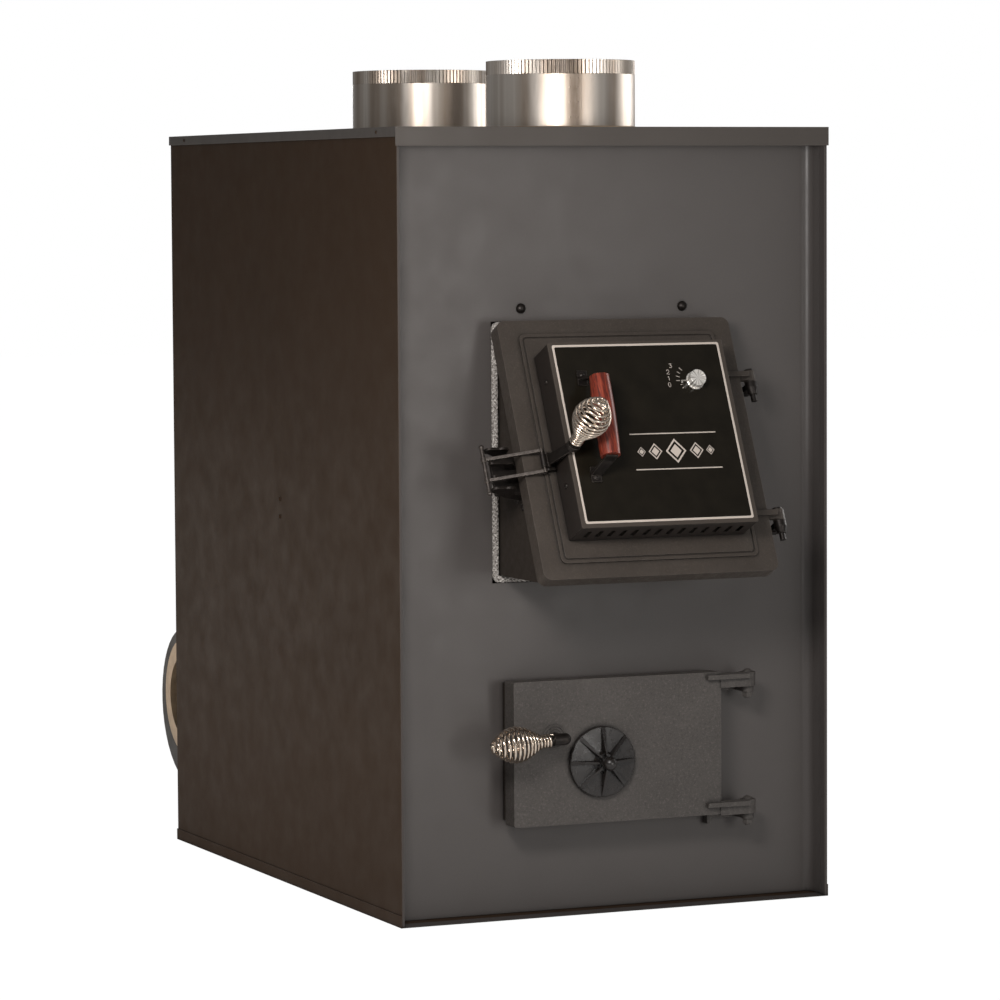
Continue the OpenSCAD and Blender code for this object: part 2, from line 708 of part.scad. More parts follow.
// Extrudes an outline drawn in [x, out] over a stretch of the slope centred on the latch
module latch_plate(s_lo, s_hi) {
    at_door() translate([0, 0, -latch_s - s_hi]) linear_extrude(s_hi - s_lo) mirror([0, 1]) children();
}
module both_sides(s_lo, s_hi) {
    latch_plate(s_lo, s_hi) children();
    latch_plate(-s_hi, -s_lo) children();
}
module strut_2d(a, b, w) {
    d = b - a;
    translate(a) rotate(atan2(d[1], d[0])) translate([0, -w / 2]) square([norm(d), w]);
    translate(a) circle(w / 2, $fn = fine);
    translate(b) circle(w / 2, $fn = fine);
}
// Catch on the chute: a channel arm between two lobed wings that hold the hook pin
module latch_catch() {
    seat = -chute_half - gap;
    back = rim_out - 6;
    lobe = [hook_at[0] + hook_r + 0.4 + 8, hook_at[1]];
    arm_s = cheek_s - 1.5;
    color([0.2, 0.18, 0.17]) {
        both_sides(wing_s, wing_s + lever_t) {
            polygon([[seat, back - 26], [seat, back], [-176, back], [-186, lobe[1] + 4],
                [lobe[0], lobe[1] + 8], [lobe[0], lobe[1] - 8], [-186, back - 12]]);
            translate(lobe) circle(8, $fn = fine);
            translate([-189, lobe[1] - 1]) circle(9, $fn = fine);
        }
        both_sides(arm_s, arm_s + lever_t) strut_2d([-206, -17], [-180, -19], 10);
        both_sides(arm_s, arm_s + lever_t) strut_2d([-182, -24], [-166, back - 4], 9);
        latch_plate(-wing_s - 1, wing_s + 1) block_2d(-200, seat, back - 10, back - 5);
    }
}
// Bracket on the door with two cheeks that carry the lever's pin
module latch_bracket() {
    color([0.2, 0.18, 0.17]) difference() {
        union() {
            latch_plate(-cheek_s - lever_t, cheek_s + lever_t) block_2d(-136, bracket_end, field_h + gap, field_h + gap + 2);
            both_sides(cheek_s, cheek_s + lever_t) strut_2d(lever_at, [bracket_end - 3.8, 7.2], 7.6);
            across([bracket_end - 3.8, field_h + gap + 2], latch_s) rotate([90, 0, 0]) dome(3.6, 2.6);
        }
        latch_plate(-leg_s, leg_s) translate(lever_at) circle(pivot_r + run_fit, $fn = fine);
    }
}
pivot_r = 2.5;
bracket_end = -box_half - gap - 0.5;
// Rod bent to a U, hinged in the lever, with a ball-ended hook pin at its open end
module latch_bail() {
    color([0.44, 0.4, 0.38]) {
        latch_plate(-leg_s, leg_s) translate(bail_at) circle(bail_d / 2, $fn = fine);
        both_sides(leg_s - bail_d / 2, leg_s + bail_d / 2) {
            strut_2d(bail_at, hook_at, bail_d);
            translate(bail_at) circle(bail_d / 2 + 1.2, $fn = fine);
        }
        both_sides(leg_s - 2.9, leg_s + 2.9) translate(hook_at) circle(3.8, $fn = fine);
        latch_plate(-wing_s - 5, wing_s + 5) translate(hook_at) circle(hook_r, $fn = fine);
        for (side = [-1, 1]) across(hook_at, latch_s + side * (wing_s + 6.5)) sphere(3.4, $fn = fine);
    }
}
bar_base = [-140.5, 12];
bar_t = 4;
bar_len = 58;
bar_tip = bar_base + bar_len * [sin(bar_lean), cos(bar_lean)];
module latch_lever() {
    color([0.14, 0.12, 0.11]) {
        difference() {
            latch_plate(-cheek_s + gap, cheek_s - gap) {
                strut_2d(lever_at, bail_at, 7.2);
                strut_2d(lever_at, bar_base, 7.2);
                strut_2d(bar_base, bail_at, 6);
                for (eye = [lever_at, bail_at, bar_base]) translate(eye) circle(3.8, $fn = fine);
            }
            latch_plate(-leg_s, leg_s) translate(bail_at) circle(bail_d / 2 + run_fit, $fn = fine);
        }
        latch_plate(-cheek_s - lever_t - 0.5, cheek_s + lever_t + 0.5) translate(lever_at) circle(pivot_r, $fn = fine);
        latch_plate(-7, 7) strut_2d(bar_base, bar_tip - 3 * [sin(bar_lean), cos(bar_lean)], bar_t);
        at_latch_bar() {
            cylinder(r = coil_neck_r - 0.5, h = 6, $fn = fine);
            cylinder(r = spigot_r, h = 6 + coil_neck - 4, $fn = fine);
        }
    }
}
// Frame at the end of the bar, z along the coil handle, which droops a little
coil_lean = 6;
coil_droop = 16;
module at_latch_bar() {
    across(bar_tip, latch_s) rotate([90, 0, 0]) rotate([-coil_droop, 0, 0]) rotate([0, coil_lean, 0])
        translate([0, 0, -5]) children();
}
spigot_r = (coil_neck_r - wire_d) * cos(22.5) - gap;
// Wire wound round z: a straight start, the neck, the bulge and a small last turn
coil_turns = neck_turns + bulge_turns;
coil_steps = 8 * coil_turns;
neck_part = neck_turns / coil_turns;
function wound_z(t) = t < neck_part ? wire_d + coil_neck * t / neck_part
    : wire_d + coil_neck + (coil_len - coil_neck - wire_d) * (t - neck_part) / (1 - neck_part);
function swell(u) = u < 0.52 ? pow(sin(90 * u / 0.52), 1.3) : cos(90 * (u - 0.52) / 0.48);
function wound_r(t) = let (u = (t - neck_part) / (1 - neck_part), neck = coil_neck_r - wire_d / 2)
    u < 0 ? neck : u < 0.52 ? neck + (coil_max_r - coil_neck_r) * swell(u)
    : coil_tip_r - wire_d / 2 + (coil_max_r - coil_tip_r) * swell(u);
function wound_at(i) = let (t = i / coil_steps, a = 45 * i) [wound_r(t) * cos(a), wound_r(t) * sin(a), wound_z(t)];
coil_path = concat([[wound_r(0), 0, 0]], [for (i = [0:coil_steps]) wound_at(i)]);
function unit(v) = v / norm(v);
module wound_wire() {
    n = len(coil_path);
    sides = 6;
    function ring(i) = let (
        p = coil_path[i],
        t = unit(coil_path[min(i + 1, n - 1)] - coil_path[max(i - 1, 0)]),
        away = unit([p[0], p[1], 0]),
        u = unit(away - (away * t) * t),
        v = cross(t, u)
    ) [for (k = [0:sides - 1]) p + wire_d / 2 * (cos(60 * k) * u + sin(60 * k) * v)];
    points = [for (i = [0:n - 1]) each ring(i)];
    walls = [for (i = [0:n - 2], k = [0:sides - 1]) let (
        a = i * sides + k, b = i * sides + (k + 1) % sides, c = b + sides, d = a + sides)
        each [[a, c, b], [a, d, c]]];
    first = [for (k = [1:sides - 2]) [0, k, k + 1]];
    last = [for (k = [1:sides - 2]) [(n - 1) * sides, (n - 1) * sides + k + 1, (n - 1) * sides + k]];
    polyhedron(concat(points), concat(first, last, walls));
}
coil_gaps = [for (i = [1:len(coil_path) - 1]) for (j = [i + 5:1:len(coil_path) - 1])
    norm(coil_path[i] - coil_path[j]) - wire_d];
echo(least_gap_of_the_coil_to_itself = min(coil_gaps));
module latch_coil_handle() { color([0.75, 0.7, 0.64]) at_latch_bar() translate([0, 0, 6 + gap]) wound_wire(); }

// Hinges of the feed door: lugs welded to the chute, pins with their tails down
module feed_hinge_lugs() {
    color([0.2, 0.18, 0.17]) difference() {
        for (s = feed_hinge_s) on_door(0, s + gap + 9, hinge_out) {
            translate([feed_hinge_x, 0, 0]) rotate_extrude($fn = fine)
                polygon([[0, -8], [pin_r + 1.6, -8], [barrel_r, 1], [barrel_r, 9], [0, 9]]);
            block([chute_half + gap, -rim_out + hinge_out + 4, 0], [feed_hinge_x + 6, -rim_out + hinge_out + 14, 9]);
            block([feed_hinge_x - 6, 0, 2], [feed_hinge_x + 6, -rim_out + hinge_out + 8, 9]);
            block([chute_half + gap, -rim_out + hinge_out + 4, -9], [chute_half + gap + 5, -rim_out + hinge_out + 34, 18]);
        }
        for (s = feed_hinge_s) on_door(feed_hinge_x, s + gap + 9, hinge_out)
            translate([0, 0, -9]) cylinder(r = pin_r + run_fit, h = 20, $fn = fine);
    }
}
module feed_hinge_pins() {
    color([0.3, 0.28, 0.26]) for (s = feed_hinge_s) on_door(feed_hinge_x, s, hinge_out) {
        translate([0, 0, -27]) cylinder(r = pin_r, h = 27 + barrel_h + gap, $fn = fine);
        translate([0, 0, barrel_h + gap]) cylinder(r = pin_r + 2.4, h = 3, $fn = fine);
    }
}

// Ash door
ash_hinge_y = ash_face + 10.6;
ash_barrel_r = 11;
ash_barrel_h = 19;
ash_hinge_z = [121.3, 295.3];
ash_mid_z = (ash_low + ash_high) / 2;
module ash_slab(half, low, high, y0, y1, r) {
    translate([0, y1, 0]) rotate([90, 0, 0]) linear_extrude(y1 - y0) rounded(-half, half, low, high, r);
}
module ash_door_plate() {
    color([0.31, 0.29, 0.27]) difference() {
        union() {
            ash_slab(ash_half, ash_low, ash_high, ash_face, ash_back, 3);
            for (z = ash_hinge_z) {
                translate([ash_hinge_x, ash_hinge_y, z]) cylinder(r = ash_barrel_r, h = ash_barrel_h, $fn = fine);
                block([ash_half - eps, ash_face - 1.5, z], [ash_hinge_x, ash_hinge_y, z + ash_barrel_h]);
                block([ash_half - 22, ash_face - 7, z + 12], [ash_hinge_x - 4, ash_face + 2, z + 18]);
            }
            translate([shaft_x, 0, shaft_z]) rod_y(16, ash_face - 1.6, ash_face + 1);
            translate([shaft_x, 0, shaft_z]) rod_y(12, ash_face - 3, ash_face + 1);
            translate([spin_x, 0, spin_z]) rod_y(spin_r - 4, ash_face - 1.2, ash_face + 1);
        }
        ash_slab(ash_half - 8, ash_low + 8, ash_high - 8, ash_face + 9, ash_back + eps, 4);
        translate([shaft_x, 0, shaft_z]) rod_y(shaft_r + run_fit, ash_face - 5, ash_back);
        translate([spin_x, 0, spin_z]) {
            rod_y(stud_r, ash_face - 5, ash_back);
            for (a = [30:60:330]) translate([27 * cos(a), 0, 27 * sin(a)]) rod_y(9, ash_face - 5, ash_back);
        }
        for (z = ash_hinge_z) translate([ash_hinge_x, ash_hinge_y, z - eps])
            cylinder(r = pin_r + run_fit, h = ash_barrel_h + 2 * eps, $fn = fine);
    }
}
module ash_door_gasket() {
    color([0.7, 0.68, 0.66]) difference() {
        ash_slab(ash_half - 8 - gap, ash_low + 8 + gap, ash_high - 8 - gap, ash_face + 9 + gap, ash_back, 4);
        ash_slab(ash_half - 20, ash_low + 20, ash_high - 20, ash_face, ash_back + eps, 3);
    }
}
lug_h = 7.6;
module ash_hinge_lugs() {
    color([0.25, 0.23, 0.22]) for (z = ash_hinge_z) translate([0, 0, z - gap - lug_h]) difference() {
        union() {
            translate([ash_hinge_x, ash_hinge_y, 0]) cylinder(r = ash_barrel_r - 2.5, h = lug_h, $fn = fine);
            block([ash_hinge_x - 7, ash_hinge_y, 0], [ash_hinge_x + 7, front_y - 2, lug_h]);
            block([throat_half + gap, front_y - 14, 0], [ash_hinge_x, front_y - 2, lug_h]);
            block([throat_half + gap, front_y - 14, -8], [throat_half + gap + 5, front_y - 2, lug_h + 8]);
        }
        translate([ash_hinge_x, ash_hinge_y, -eps]) cylinder(r = pin_r + run_fit, h = lug_h + 2 * eps, $fn = fine);
    }
}
module ash_hinge_pins() {
    color([0.33, 0.31, 0.29]) for (z = ash_hinge_z) translate([ash_hinge_x, ash_hinge_y, 0]) {
        translate([0, 0, z - lug_h - 9]) cylinder(r = pin_r, h = lug_h + 10 + ash_barrel_h + gap, $fn = fine);
        translate([0, 0, z + ash_barrel_h + gap]) dome(pin_r + 3.2, 4);
    }
}
module ash_hinge_nuts() {
    color([0.33, 0.31, 0.29]) for (z = ash_hinge_z) translate([ash_hinge_x, ash_hinge_y, z - lug_h - 7.2]) difference() {
        cylinder(r = 7.5, h = 6.6, $fn = 6);
        translate([0, 0, -eps]) cylinder(r = pin_r + run_fit, h = 9, $fn = fine);
    }
}
// Spinner: dished wheel with eight ribs and a ball knob, on a threaded stud
stud_r = 5;
spin_face = ash_face - 7;
module spinner_stud() {
    color([0.35, 0.33, 0.3]) translate([spin_x, 0, spin_z]) {
        rod_y(stud_r, ash_face - 20, ash_face + 16);
        rod_y(9, ash_face + 9 + gap, ash_face + 15);
    }
}
module spinner_wheel() {
    color([0.14, 0.12, 0.11]) translate([spin_x, ash_face - 1.5, spin_z]) rotate([90, 0, 0]) difference() {
        union() {
            rotate_extrude($fn = 96) polygon([[0, 2], [0, 12], [12, 12], [15, 8], [spin_r - 1, 6], [spin_r, 5],
                [spin_r, 0], [spin_r - 4, 0], [spin_r - 6, 2]]);
            intersection() {
                rotate_extrude($fn = 96)
                    polygon([[0, 3], [0, 19], [11, 19], [spin_r - 1.5, 7.5], [spin_r - 1.5, 3]]);
                for (a = [0:45:315]) rotate(a) rotate([90, 0, 90]) linear_extrude(spin_r)
                    polygon([[-3.4, 2.5], [3.4, 2.5], [1, 20], [-1, 20]]);
            }
            cylinder(r = 13, h = 14, $fn = 8);
            cylinder(r = 8, h = 22, $fn = fine);
            translate([0, 0, 28]) sphere(9.5, $fn = fine);
        }
        translate([0, 0, -eps]) cylinder(r = stud_r + run_fit, h = 19.8, $fn = fine);
    }
}
// Latch shaft with the cross rod outside and the cam finger inside
rod_y_at = ash_face - 29.4;
cam_y = front_y + 5;
handle_drop = 3.3;
rod_stub = 3;
module ash_latch_shaft() {
    color([0.13, 0.12, 0.11]) {
        translate([shaft_x, 0, shaft_z]) {
            rod_y(shaft_r, rod_y_at, cam_y + 8);
            translate([0, cam_y, 0]) {
                rod_y(11, 0, 8);
                block([-8, 0, 0], [8, 8, 38]);
            }
        }
        at_ash_rod() {
            translate([0, 0, -rod_stub]) cylinder(r = 8, h = 14 + rod_stub, $fn = fine);
            translate([0, 0, -rod_stub]) sphere(8, $fn = fine);
            cylinder(r = spigot_r, h = 14 + coil_neck - 4, $fn = fine);
        }
    }
}
module at_ash_rod() { translate([shaft_x, rod_y_at, shaft_z]) rotate([0, -90 - handle_drop, 0]) children(); }
module ash_coil_handle() { color([0.75, 0.7, 0.64]) at_ash_rod() translate([0, 0, 14 + gap]) wound_wire(); }
module ash_door_keeper() {
    wall = throat_half - 5 - gap;
    low = pan_low + pan_h + 2;
    color([0.22, 0.2, 0.19]) difference() {
        block([-wall, cam_y - 9, low], [-wall + 22, cam_y - gap, shaft_z + 30]);
        translate([-wall + 22, cam_y - 9, 0]) rotate([0, 0, 30]) block([-3, -12, low - eps], [20, 6, shaft_z + 31]);
    }
}
// Ash pan that slides out through the throat
pan_half = throat_half - 5 - 6;
pan_low = throat_low + fire_wall + gap;
pan_h = 110;
module ash_pan() {
    y0 = front_y + 45;
    y1 = inner_rear - 60;
    color([0.35, 0.34, 0.33]) difference() {
        union() {
            block([-pan_half, y0, pan_low], [pan_half, y1, pan_low + pan_h]);
            block([-pan_half - 4, y0, pan_low + pan_h - 4], [pan_half + 4, y1, pan_low + pan_h]);
            block([-40, y0 - 22, pan_low + 60], [40, y0, pan_low + 68]);
        }
        block([-pan_half + 2, y0 + 2, pan_low + 2], [pan_half - 2, y1 - 2, pan_low + pan_h + eps]);
        block([-30, y0 - 14, pan_low + 50], [30, y0 - gap, pan_low + 70]);
    }
}

// Blower behind the cabinet; its shaft lies along X
module at_blower(x) { translate([x, blower_y, blower_z]) rotate([90, 0, 90]) children(); }
// Scroll outline in [y, z] round the shaft; it ends in the outlet towards the cabinet
function scroll_at(a, inset) = let (
    start = wheel_r + 12,
    r = start + (scroll_r - start) * pow(a / 270, 3.5) - inset,
    b = 180 - a
) [r * cos(b), r * sin(b)];
function scroll_points(inset, mouth) = concat(
    [[mouth, outlet_hi - blower_z - inset], [scroll_at(0, inset)[0], outlet_hi - blower_z - inset]],
    [for (a = [0:9:270]) scroll_at(a, inset)], [[mouth, inset - scroll_r]]);
mouth_y = -blower_back + gap;
blower_shaft = 6;
inlet_rim = inlet_r + 28.5;
shaft_depth = 40;
module blower_housing() {
    color([0.2, 0.18, 0.17]) at_blower(blower_x) difference() {
        union() {
            linear_extrude(blower_w) polygon(scroll_points(0, mouth_y));
            translate([mouth_y, outlet_lo - blower_z - 12, -12]) cube([2, outlet_hi - outlet_lo + 24, blower_w + 24]);
        }
        translate([0, 0, sheet]) linear_extrude(blower_w - 2 * sheet) polygon(scroll_points(sheet, mouth_y - eps));
        translate([0, 0, -eps]) cylinder(r = inlet_r + 6, h = sheet + 2 * eps, $fn = fine);
        translate([0, 0, blower_w - sheet - eps]) cylinder(r = 20, h = sheet + 2 * eps, $fn = fine);
    }
}
module blower_inlet_ring() {
    color([0.69, 0.63, 0.5]) at_blower(blower_x) mirror([0, 0, 1]) rotate_extrude($fn = 96)
        polygon([[inlet_r, 1.2], [inlet_r, -8], [inlet_r + 1.2, -8], [inlet_r + 1.2, -1], [inlet_r + 3, gap],
            [inlet_rim, gap], [inlet_rim, 2], [inlet_r + 4, 2], [inlet_r + 2, 4.5], [inlet_r, 4.5]]);
}
module blower_motor() {
    face = blower_x + blower_w + gap;
    color([0.2, 0.19, 0.19]) {
        at_blower(face) difference() {
            union() {
                cylinder(r = 34, h = 6, $fn = fine);
                translate([0, 0, 6]) rotate_extrude($fn = fine)
                    polygon([[0, 0], [58, 0], [62, 6], [62, 92], [56, 104], [0, 104]]);
            }
            translate([0, 0, -eps]) cylinder(r = blower_shaft + run_fit, h = shaft_depth + eps + 0.5, $fn = fine);
        }
    }
}
// Wheel with forward-curved blades between a ring and a back plate
module blower_wheel() {
    x0 = 14;
    x1 = blower_w - 16;
    color([0.5, 0.49, 0.47]) at_blower(blower_x) {
        union() {
            for (i = [0:blades - 1]) rotate(i * 360 / blades) translate([wheel_r - 9, 0, x0 + 1]) linear_extrude(x1 - x0 - 2)
                intersection() {
                    difference() {
                        circle(9, $fn = 24);
                        circle(7.6, $fn = 24);
                    }
                    square([9, 18], center = true);
                    translate([-1.5, -9]) square([9, 9]);
                }
            translate([0, 0, x0]) linear_extrude(3) wheel_ring_2d(wheel_r - 15);
            translate([0, 0, x1 - 3]) linear_extrude(3) wheel_ring_2d(0);
            translate([0, 0, x1 - 30]) cylinder(r = 14, h = 28, $fn = fine);
            translate([0, 0, x1 - 36]) cylinder(r = blower_shaft, h = blower_w + shaft_depth - x1 + 36, $fn = fine);
        }
    }
}
module wheel_ring_2d(r) {
    difference() {
        circle(wheel_r, $fn = 96);
        if (r > 0) circle(r, $fn = 96);
    }
}
// Steel box with the fan switch and the cord inlet, on the back panel
module fan_control_box() {
    back = half_d + gap;
    color([0.3, 0.3, 0.3]) difference() {
        union() {
            block([150, back, 470], [220, back + 45, 580]);
            translate([185, back + 22, 458]) cylinder(r = 14, h = 13, $fn = fine);
        }
        translate([185, back + 22, 450]) cylinder(r = 11, h = 30, $fn = fine);
    }
}

base_pan();
left_side_panel();
right_side_panel();
front_panel();
back_panel();
top_cap();
front_duct_collar();
rear_duct_collar();
firebox_stand();
firebox_shell();
feed_chute();
chute_rope();
ash_throat();
flue_collar();
side_firebricks();
end_firebricks();
grate_frame();
baffle_plate();
front_panel_bolts();
cabinet_screws();
chute_bolts();
latch_catch();
feed_hinge_lugs();
feed_hinge_pins();
ash_hinge_lugs();
ash_hinge_pins();
ash_hinge_nuts();
ash_door_keeper();
blower_housing();
blower_inlet_ring();
blower_motor();
fan_control_box();
feed_door_plate();
feed_door_gasket();
feed_door_shield();
draft_box();
draft_panel();
draft_box_screws();
thermostat_coil();
wood_grip();
grip_brackets();
latch_bracket();
latch_bail();
latch_lever();
latch_coil_handle();
draft_knob();
draft_flap();
ash_door_plate();
ash_door_gasket();
spinner_stud();
ash_latch_shaft();
ash_coil_handle();
spinner_wheel();
ash_pan();
grate_bar_1();
grate_bar_2();
grate_bar_3();
grate_bar_4();
grate_tie_bar();
blower_wheel();
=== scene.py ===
# Looks of the coal furnace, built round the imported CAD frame. Metres, front faces -Y, up is +Z.
import json
import math

import bmesh
import bpy
import numpy as np
from mathutils import Matrix, Vector


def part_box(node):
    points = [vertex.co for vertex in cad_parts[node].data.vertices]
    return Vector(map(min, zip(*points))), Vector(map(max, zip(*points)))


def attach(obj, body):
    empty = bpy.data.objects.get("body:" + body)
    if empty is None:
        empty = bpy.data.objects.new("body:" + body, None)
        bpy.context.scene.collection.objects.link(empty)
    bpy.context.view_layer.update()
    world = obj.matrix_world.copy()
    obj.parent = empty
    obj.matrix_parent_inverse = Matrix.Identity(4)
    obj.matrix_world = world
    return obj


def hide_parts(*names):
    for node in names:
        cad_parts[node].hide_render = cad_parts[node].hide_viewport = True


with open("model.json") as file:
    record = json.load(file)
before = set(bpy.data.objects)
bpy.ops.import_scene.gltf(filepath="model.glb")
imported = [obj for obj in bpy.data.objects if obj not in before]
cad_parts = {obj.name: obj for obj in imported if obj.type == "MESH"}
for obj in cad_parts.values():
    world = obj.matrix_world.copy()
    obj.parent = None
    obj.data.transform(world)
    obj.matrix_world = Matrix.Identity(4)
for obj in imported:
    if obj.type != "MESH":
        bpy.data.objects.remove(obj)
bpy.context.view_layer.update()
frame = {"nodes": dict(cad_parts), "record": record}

MM = 0.001
NODES = frame["nodes"]
SLOT_OF = {p["node"]: p["material_slot"] for p in frame["record"]["subparts"]}

# Half width of the casing and the plane where its front returns begin, in metres
CASE_X, CASE_FRONT = 0.315, -0.42
# Top edge of the feed door's face in metres, and the slope of the door
DOOR_TOP = (0.0, -0.4337, 0.7964)
TILT_DEGREES = 25
TILT = math.radians(TILT_DEGREES)
# The sizes below are in millimetres. On the feed door, "down" is measured down its slope from that edge.
# How far the draft box stands out of the door
BOX_OUT = 50.0
# Half sizes and middle of the draft panel's printed border, its width, and the thickness of its ink
BORDER_X, BORDER_Z, BORDER_MID = 121.4, 125.6, 183.0
BORDER_WIDE, BORDER_INK, INK = 3.0, 0.14, 0.12
# Draft knob: its middle across and down the panel, and the middle of its face in metres
KNOB_AT = (75.5, 112.5)
KNOB_FACE = (0.0755, -0.5266, 0.7156)
# Duct collars: radius, foot, top of the plain part, and their places along Y
DUCT_R, DUCT_FOOT, DUCT_TOP = 101.6, 1052.3, 1124.5
FRONT_DUCT_Y, REAR_DUCT_Y = -266, 229
# Front face of the ash door and middle of its latch shaft
ASH_FACE = -446.6
SHAFT_AT = (-95.0, 242.0)

# Camera at the photograph's viewing angle
CAM_AT = Vector((-2.4588, -5.7266, 0.9589))
CAM_YAW, CAM_PITCH, CAM_ROLL = 0.4088, -0.0691, -0.0058
CAM_LENS, CAM_SENSOR, CAM_REACH = 157.29, 36.0, 60.0


def add_camera():
    cy, sy = math.cos(CAM_YAW), math.sin(CAM_YAW)
    cp, sp = math.cos(CAM_PITCH), math.sin(CAM_PITCH)
    ahead = Vector((sy * cp, cy * cp, sp))
    side = Vector((cy, -sy, 0.0))
    up = side.cross(ahead)
    c, s = math.cos(CAM_ROLL), math.sin(CAM_ROLL)
    side, up = c * side + s * up, c * up - s * side
    data = bpy.data.cameras.new("camera")
    data.lens = CAM_LENS
    data.sensor_width = CAM_SENSOR
    data.clip_end = CAM_REACH
    cam = bpy.data.objects.new("camera", data)
    cam.matrix_world = Matrix((
        (side.x, up.x, -ahead.x, CAM_AT.x),
        (side.y, up.y, -ahead.y, CAM_AT.y),
        (side.z, up.z, -ahead.z, CAM_AT.z),
        (0, 0, 0, 1)))
    bpy.context.scene.collection.objects.link(cam)
    bpy.context.scene.camera = cam


add_camera()


# Shader helpers
EDGE_RADIUS = 0.0009


class Shader:
    """A material's node tree, with short calls for the nodes that the finishes share."""

    def __init__(self, name, rough=0.5, metal=0.0, specular=0.5):
        self.mat = bpy.data.materials.new(name)
        self.mat.use_nodes = True
        self.nodes = self.mat.node_tree.nodes
        self.links = self.mat.node_tree.links
        self.bsdf = self.nodes["Principled BSDF"]
        self.bsdf.inputs["Roughness"].default_value = rough
        self.bsdf.inputs["Metallic"].default_value = metal
        self.bsdf.inputs["Specular IOR Level"].default_value = specular
        self.coords = self.nodes.new("ShaderNodeTexCoord").outputs["Object"]
        edge = self.nodes.new("ShaderNodeBevel")
        edge.samples = 4
        edge.inputs["Radius"].default_value = EDGE_RADIUS
        self.edge = edge.outputs["Normal"]

    def link(self, a, b):
        self.links.new(a, b)

    def stretch(self, scale, source=None):
        node = self.nodes.new("ShaderNodeMapping")
        node.inputs["Scale"].default_value = scale
        self.link(source or self.coords, node.inputs["Vector"])
        return node.outputs["Vector"]

    def noise(self, scale, detail=4.0, rough=0.55, vector=None, distortion=0.0):
        node = self.nodes.new("ShaderNodeTexNoise")
        node.inputs["Scale"].default_value = scale
        node.inputs["Detail"].default_value = detail
        node.inputs["Roughness"].default_value = rough
        node.inputs["Distortion"].default_value = distortion
        self.link(vector or self.coords, node.inputs["Vector"])
        return node.outputs["Fac"]

    def cells(self, scale, vector=None, feature="F1"):
        node = self.nodes.new("ShaderNodeTexVoronoi")
        node.feature = feature
        node.inputs["Scale"].default_value = scale
        self.link(vector or self.coords, node.inputs["Vector"])
        return node.outputs["Distance"]

    def ramp(self, fac, stops):
        node = self.nodes.new("ShaderNodeValToRGB")
        ramp = node.color_ramp
        while len(ramp.elements) < len(stops):
            ramp.elements.new(0.5)
        for element, (place, colour) in zip(ramp.elements, stops):
            element.position = place
            element.color = (*colour, 1.0) if len(colour) == 3 else colour
        self.link(fac, node.inputs["Fac"])
        return node.outputs["Color"]

    def spread(self, fac, low, high, to_low, to_high):
        """Maps low to high onto to_low to to_high."""
        node = self.nodes.new("ShaderNodeMapRange")
        for name, value in (("From Min", low), ("From Max", high), ("To Min", to_low), ("To Max", to_high)):
            node.inputs[name].default_value = value
        self.link(fac, node.inputs["Value"])
        return node.outputs["Result"]

    def mix(self, fac, a, b, mode="MIX"):
        node = self.nodes.new("ShaderNodeMix")
        node.data_type = "RGBA"
        node.blend_type = mode
        for socket, value in ((node.inputs[0], fac), (node.inputs[6], a), (node.inputs[7], b)):
            if isinstance(value, (int, float)):
                socket.default_value = value
            elif isinstance(value, tuple):
                socket.default_value = (*value, 1.0)
            else:
                self.link(value, socket)
        return node.outputs[2]

    def math(self, op, a, b=0.0):
        node = self.nodes.new("ShaderNodeMath")
        node.operation = op
        for socket, value in zip(node.inputs, (a, b)):
            if isinstance(value, (int, float)):
                socket.default_value = value
            else:
                self.link(value, socket)
        return node.outputs[0]

    def colour(self, source):
        self.link(source, self.bsdf.inputs["Base Color"])

    def rough(self, source):
        self.link(source, self.bsdf.inputs["Roughness"])

    def bump(self, height, strength=0.2, distance=0.0005, normal=None):
        node = self.nodes.new("ShaderNodeBump")
        node.inputs["Strength"].default_value = strength
        node.inputs["Distance"].default_value = distance
        self.link(height, node.inputs["Height"])
        self.link(self.edge if normal is None else normal, node.inputs["Normal"])
        self.link(node.outputs["Normal"], self.bsdf.inputs["Normal"])
        return node.outputs["Normal"]

    def coat(self, weight, rough):
        self.bsdf.inputs["Coat Weight"].default_value = weight
        self.bsdf.inputs["Coat Roughness"].default_value = rough

    def wear_and_highlight(self, low=0.004, high=0.09):
        """Mask of the sharp edges, which the finishes lighten: paint rubbed thin, and a painted highlight where edges
        catch the light.
        """
        geometry = self.nodes.new("ShaderNodeNewGeometry")
        dot = self.nodes.new("ShaderNodeVectorMath")
        dot.operation = "DOT_PRODUCT"
        self.link(geometry.outputs["Normal"], dot.inputs[0])
        self.link(self.edge, dot.inputs[1])
        return self.spread(self.math("SUBTRACT", 1.0, dot.outputs["Value"]), low, high, 0.0, 1.0)

    def painted_corner_shade(self, colour, reach=0.007, depth=0.3):
        """Darkens a colour in gaps and inside corners: painted shade from an ambient occlusion mask."""
        node = self.nodes.new("ShaderNodeAmbientOcclusion")
        node.samples = 4
        node.inputs["Distance"].default_value = reach
        corner_shade_factor = self.spread(node.outputs["AO"], 0.45, 0.9, depth, 1.0)
        return self.mix(1.0, colour, corner_shade_factor, "MULTIPLY")

    def xyz(self, source=None):
        node = self.nodes.new("ShaderNodeSeparateXYZ")
        self.link(source or self.coords, node.inputs[0])
        return node.outputs

    def level(self, source=None, centre=None):
        """Coordinates turned upright by the feed door's slope."""
        node = self.nodes.new("ShaderNodeVectorRotate")
        node.rotation_type = "X_AXIS"
        if centre:
            node.inputs["Center"].default_value = centre
        node.inputs["Angle"].default_value = TILT
        self.link(source or self.coords, node.inputs["Vector"])
        return node.outputs["Vector"]


def srgb(code):
    """Linear colour of a hex code."""
    parts = [int(code[i:i + 2], 16) / 255 for i in (0, 2, 4)]
    return tuple(p / 12.92 if p <= 0.04045 else ((p + 0.055) / 1.055) ** 2.4 for p in parts)


def shade(colour, k):
    return tuple(min(1.0, c * k) for c in colour)


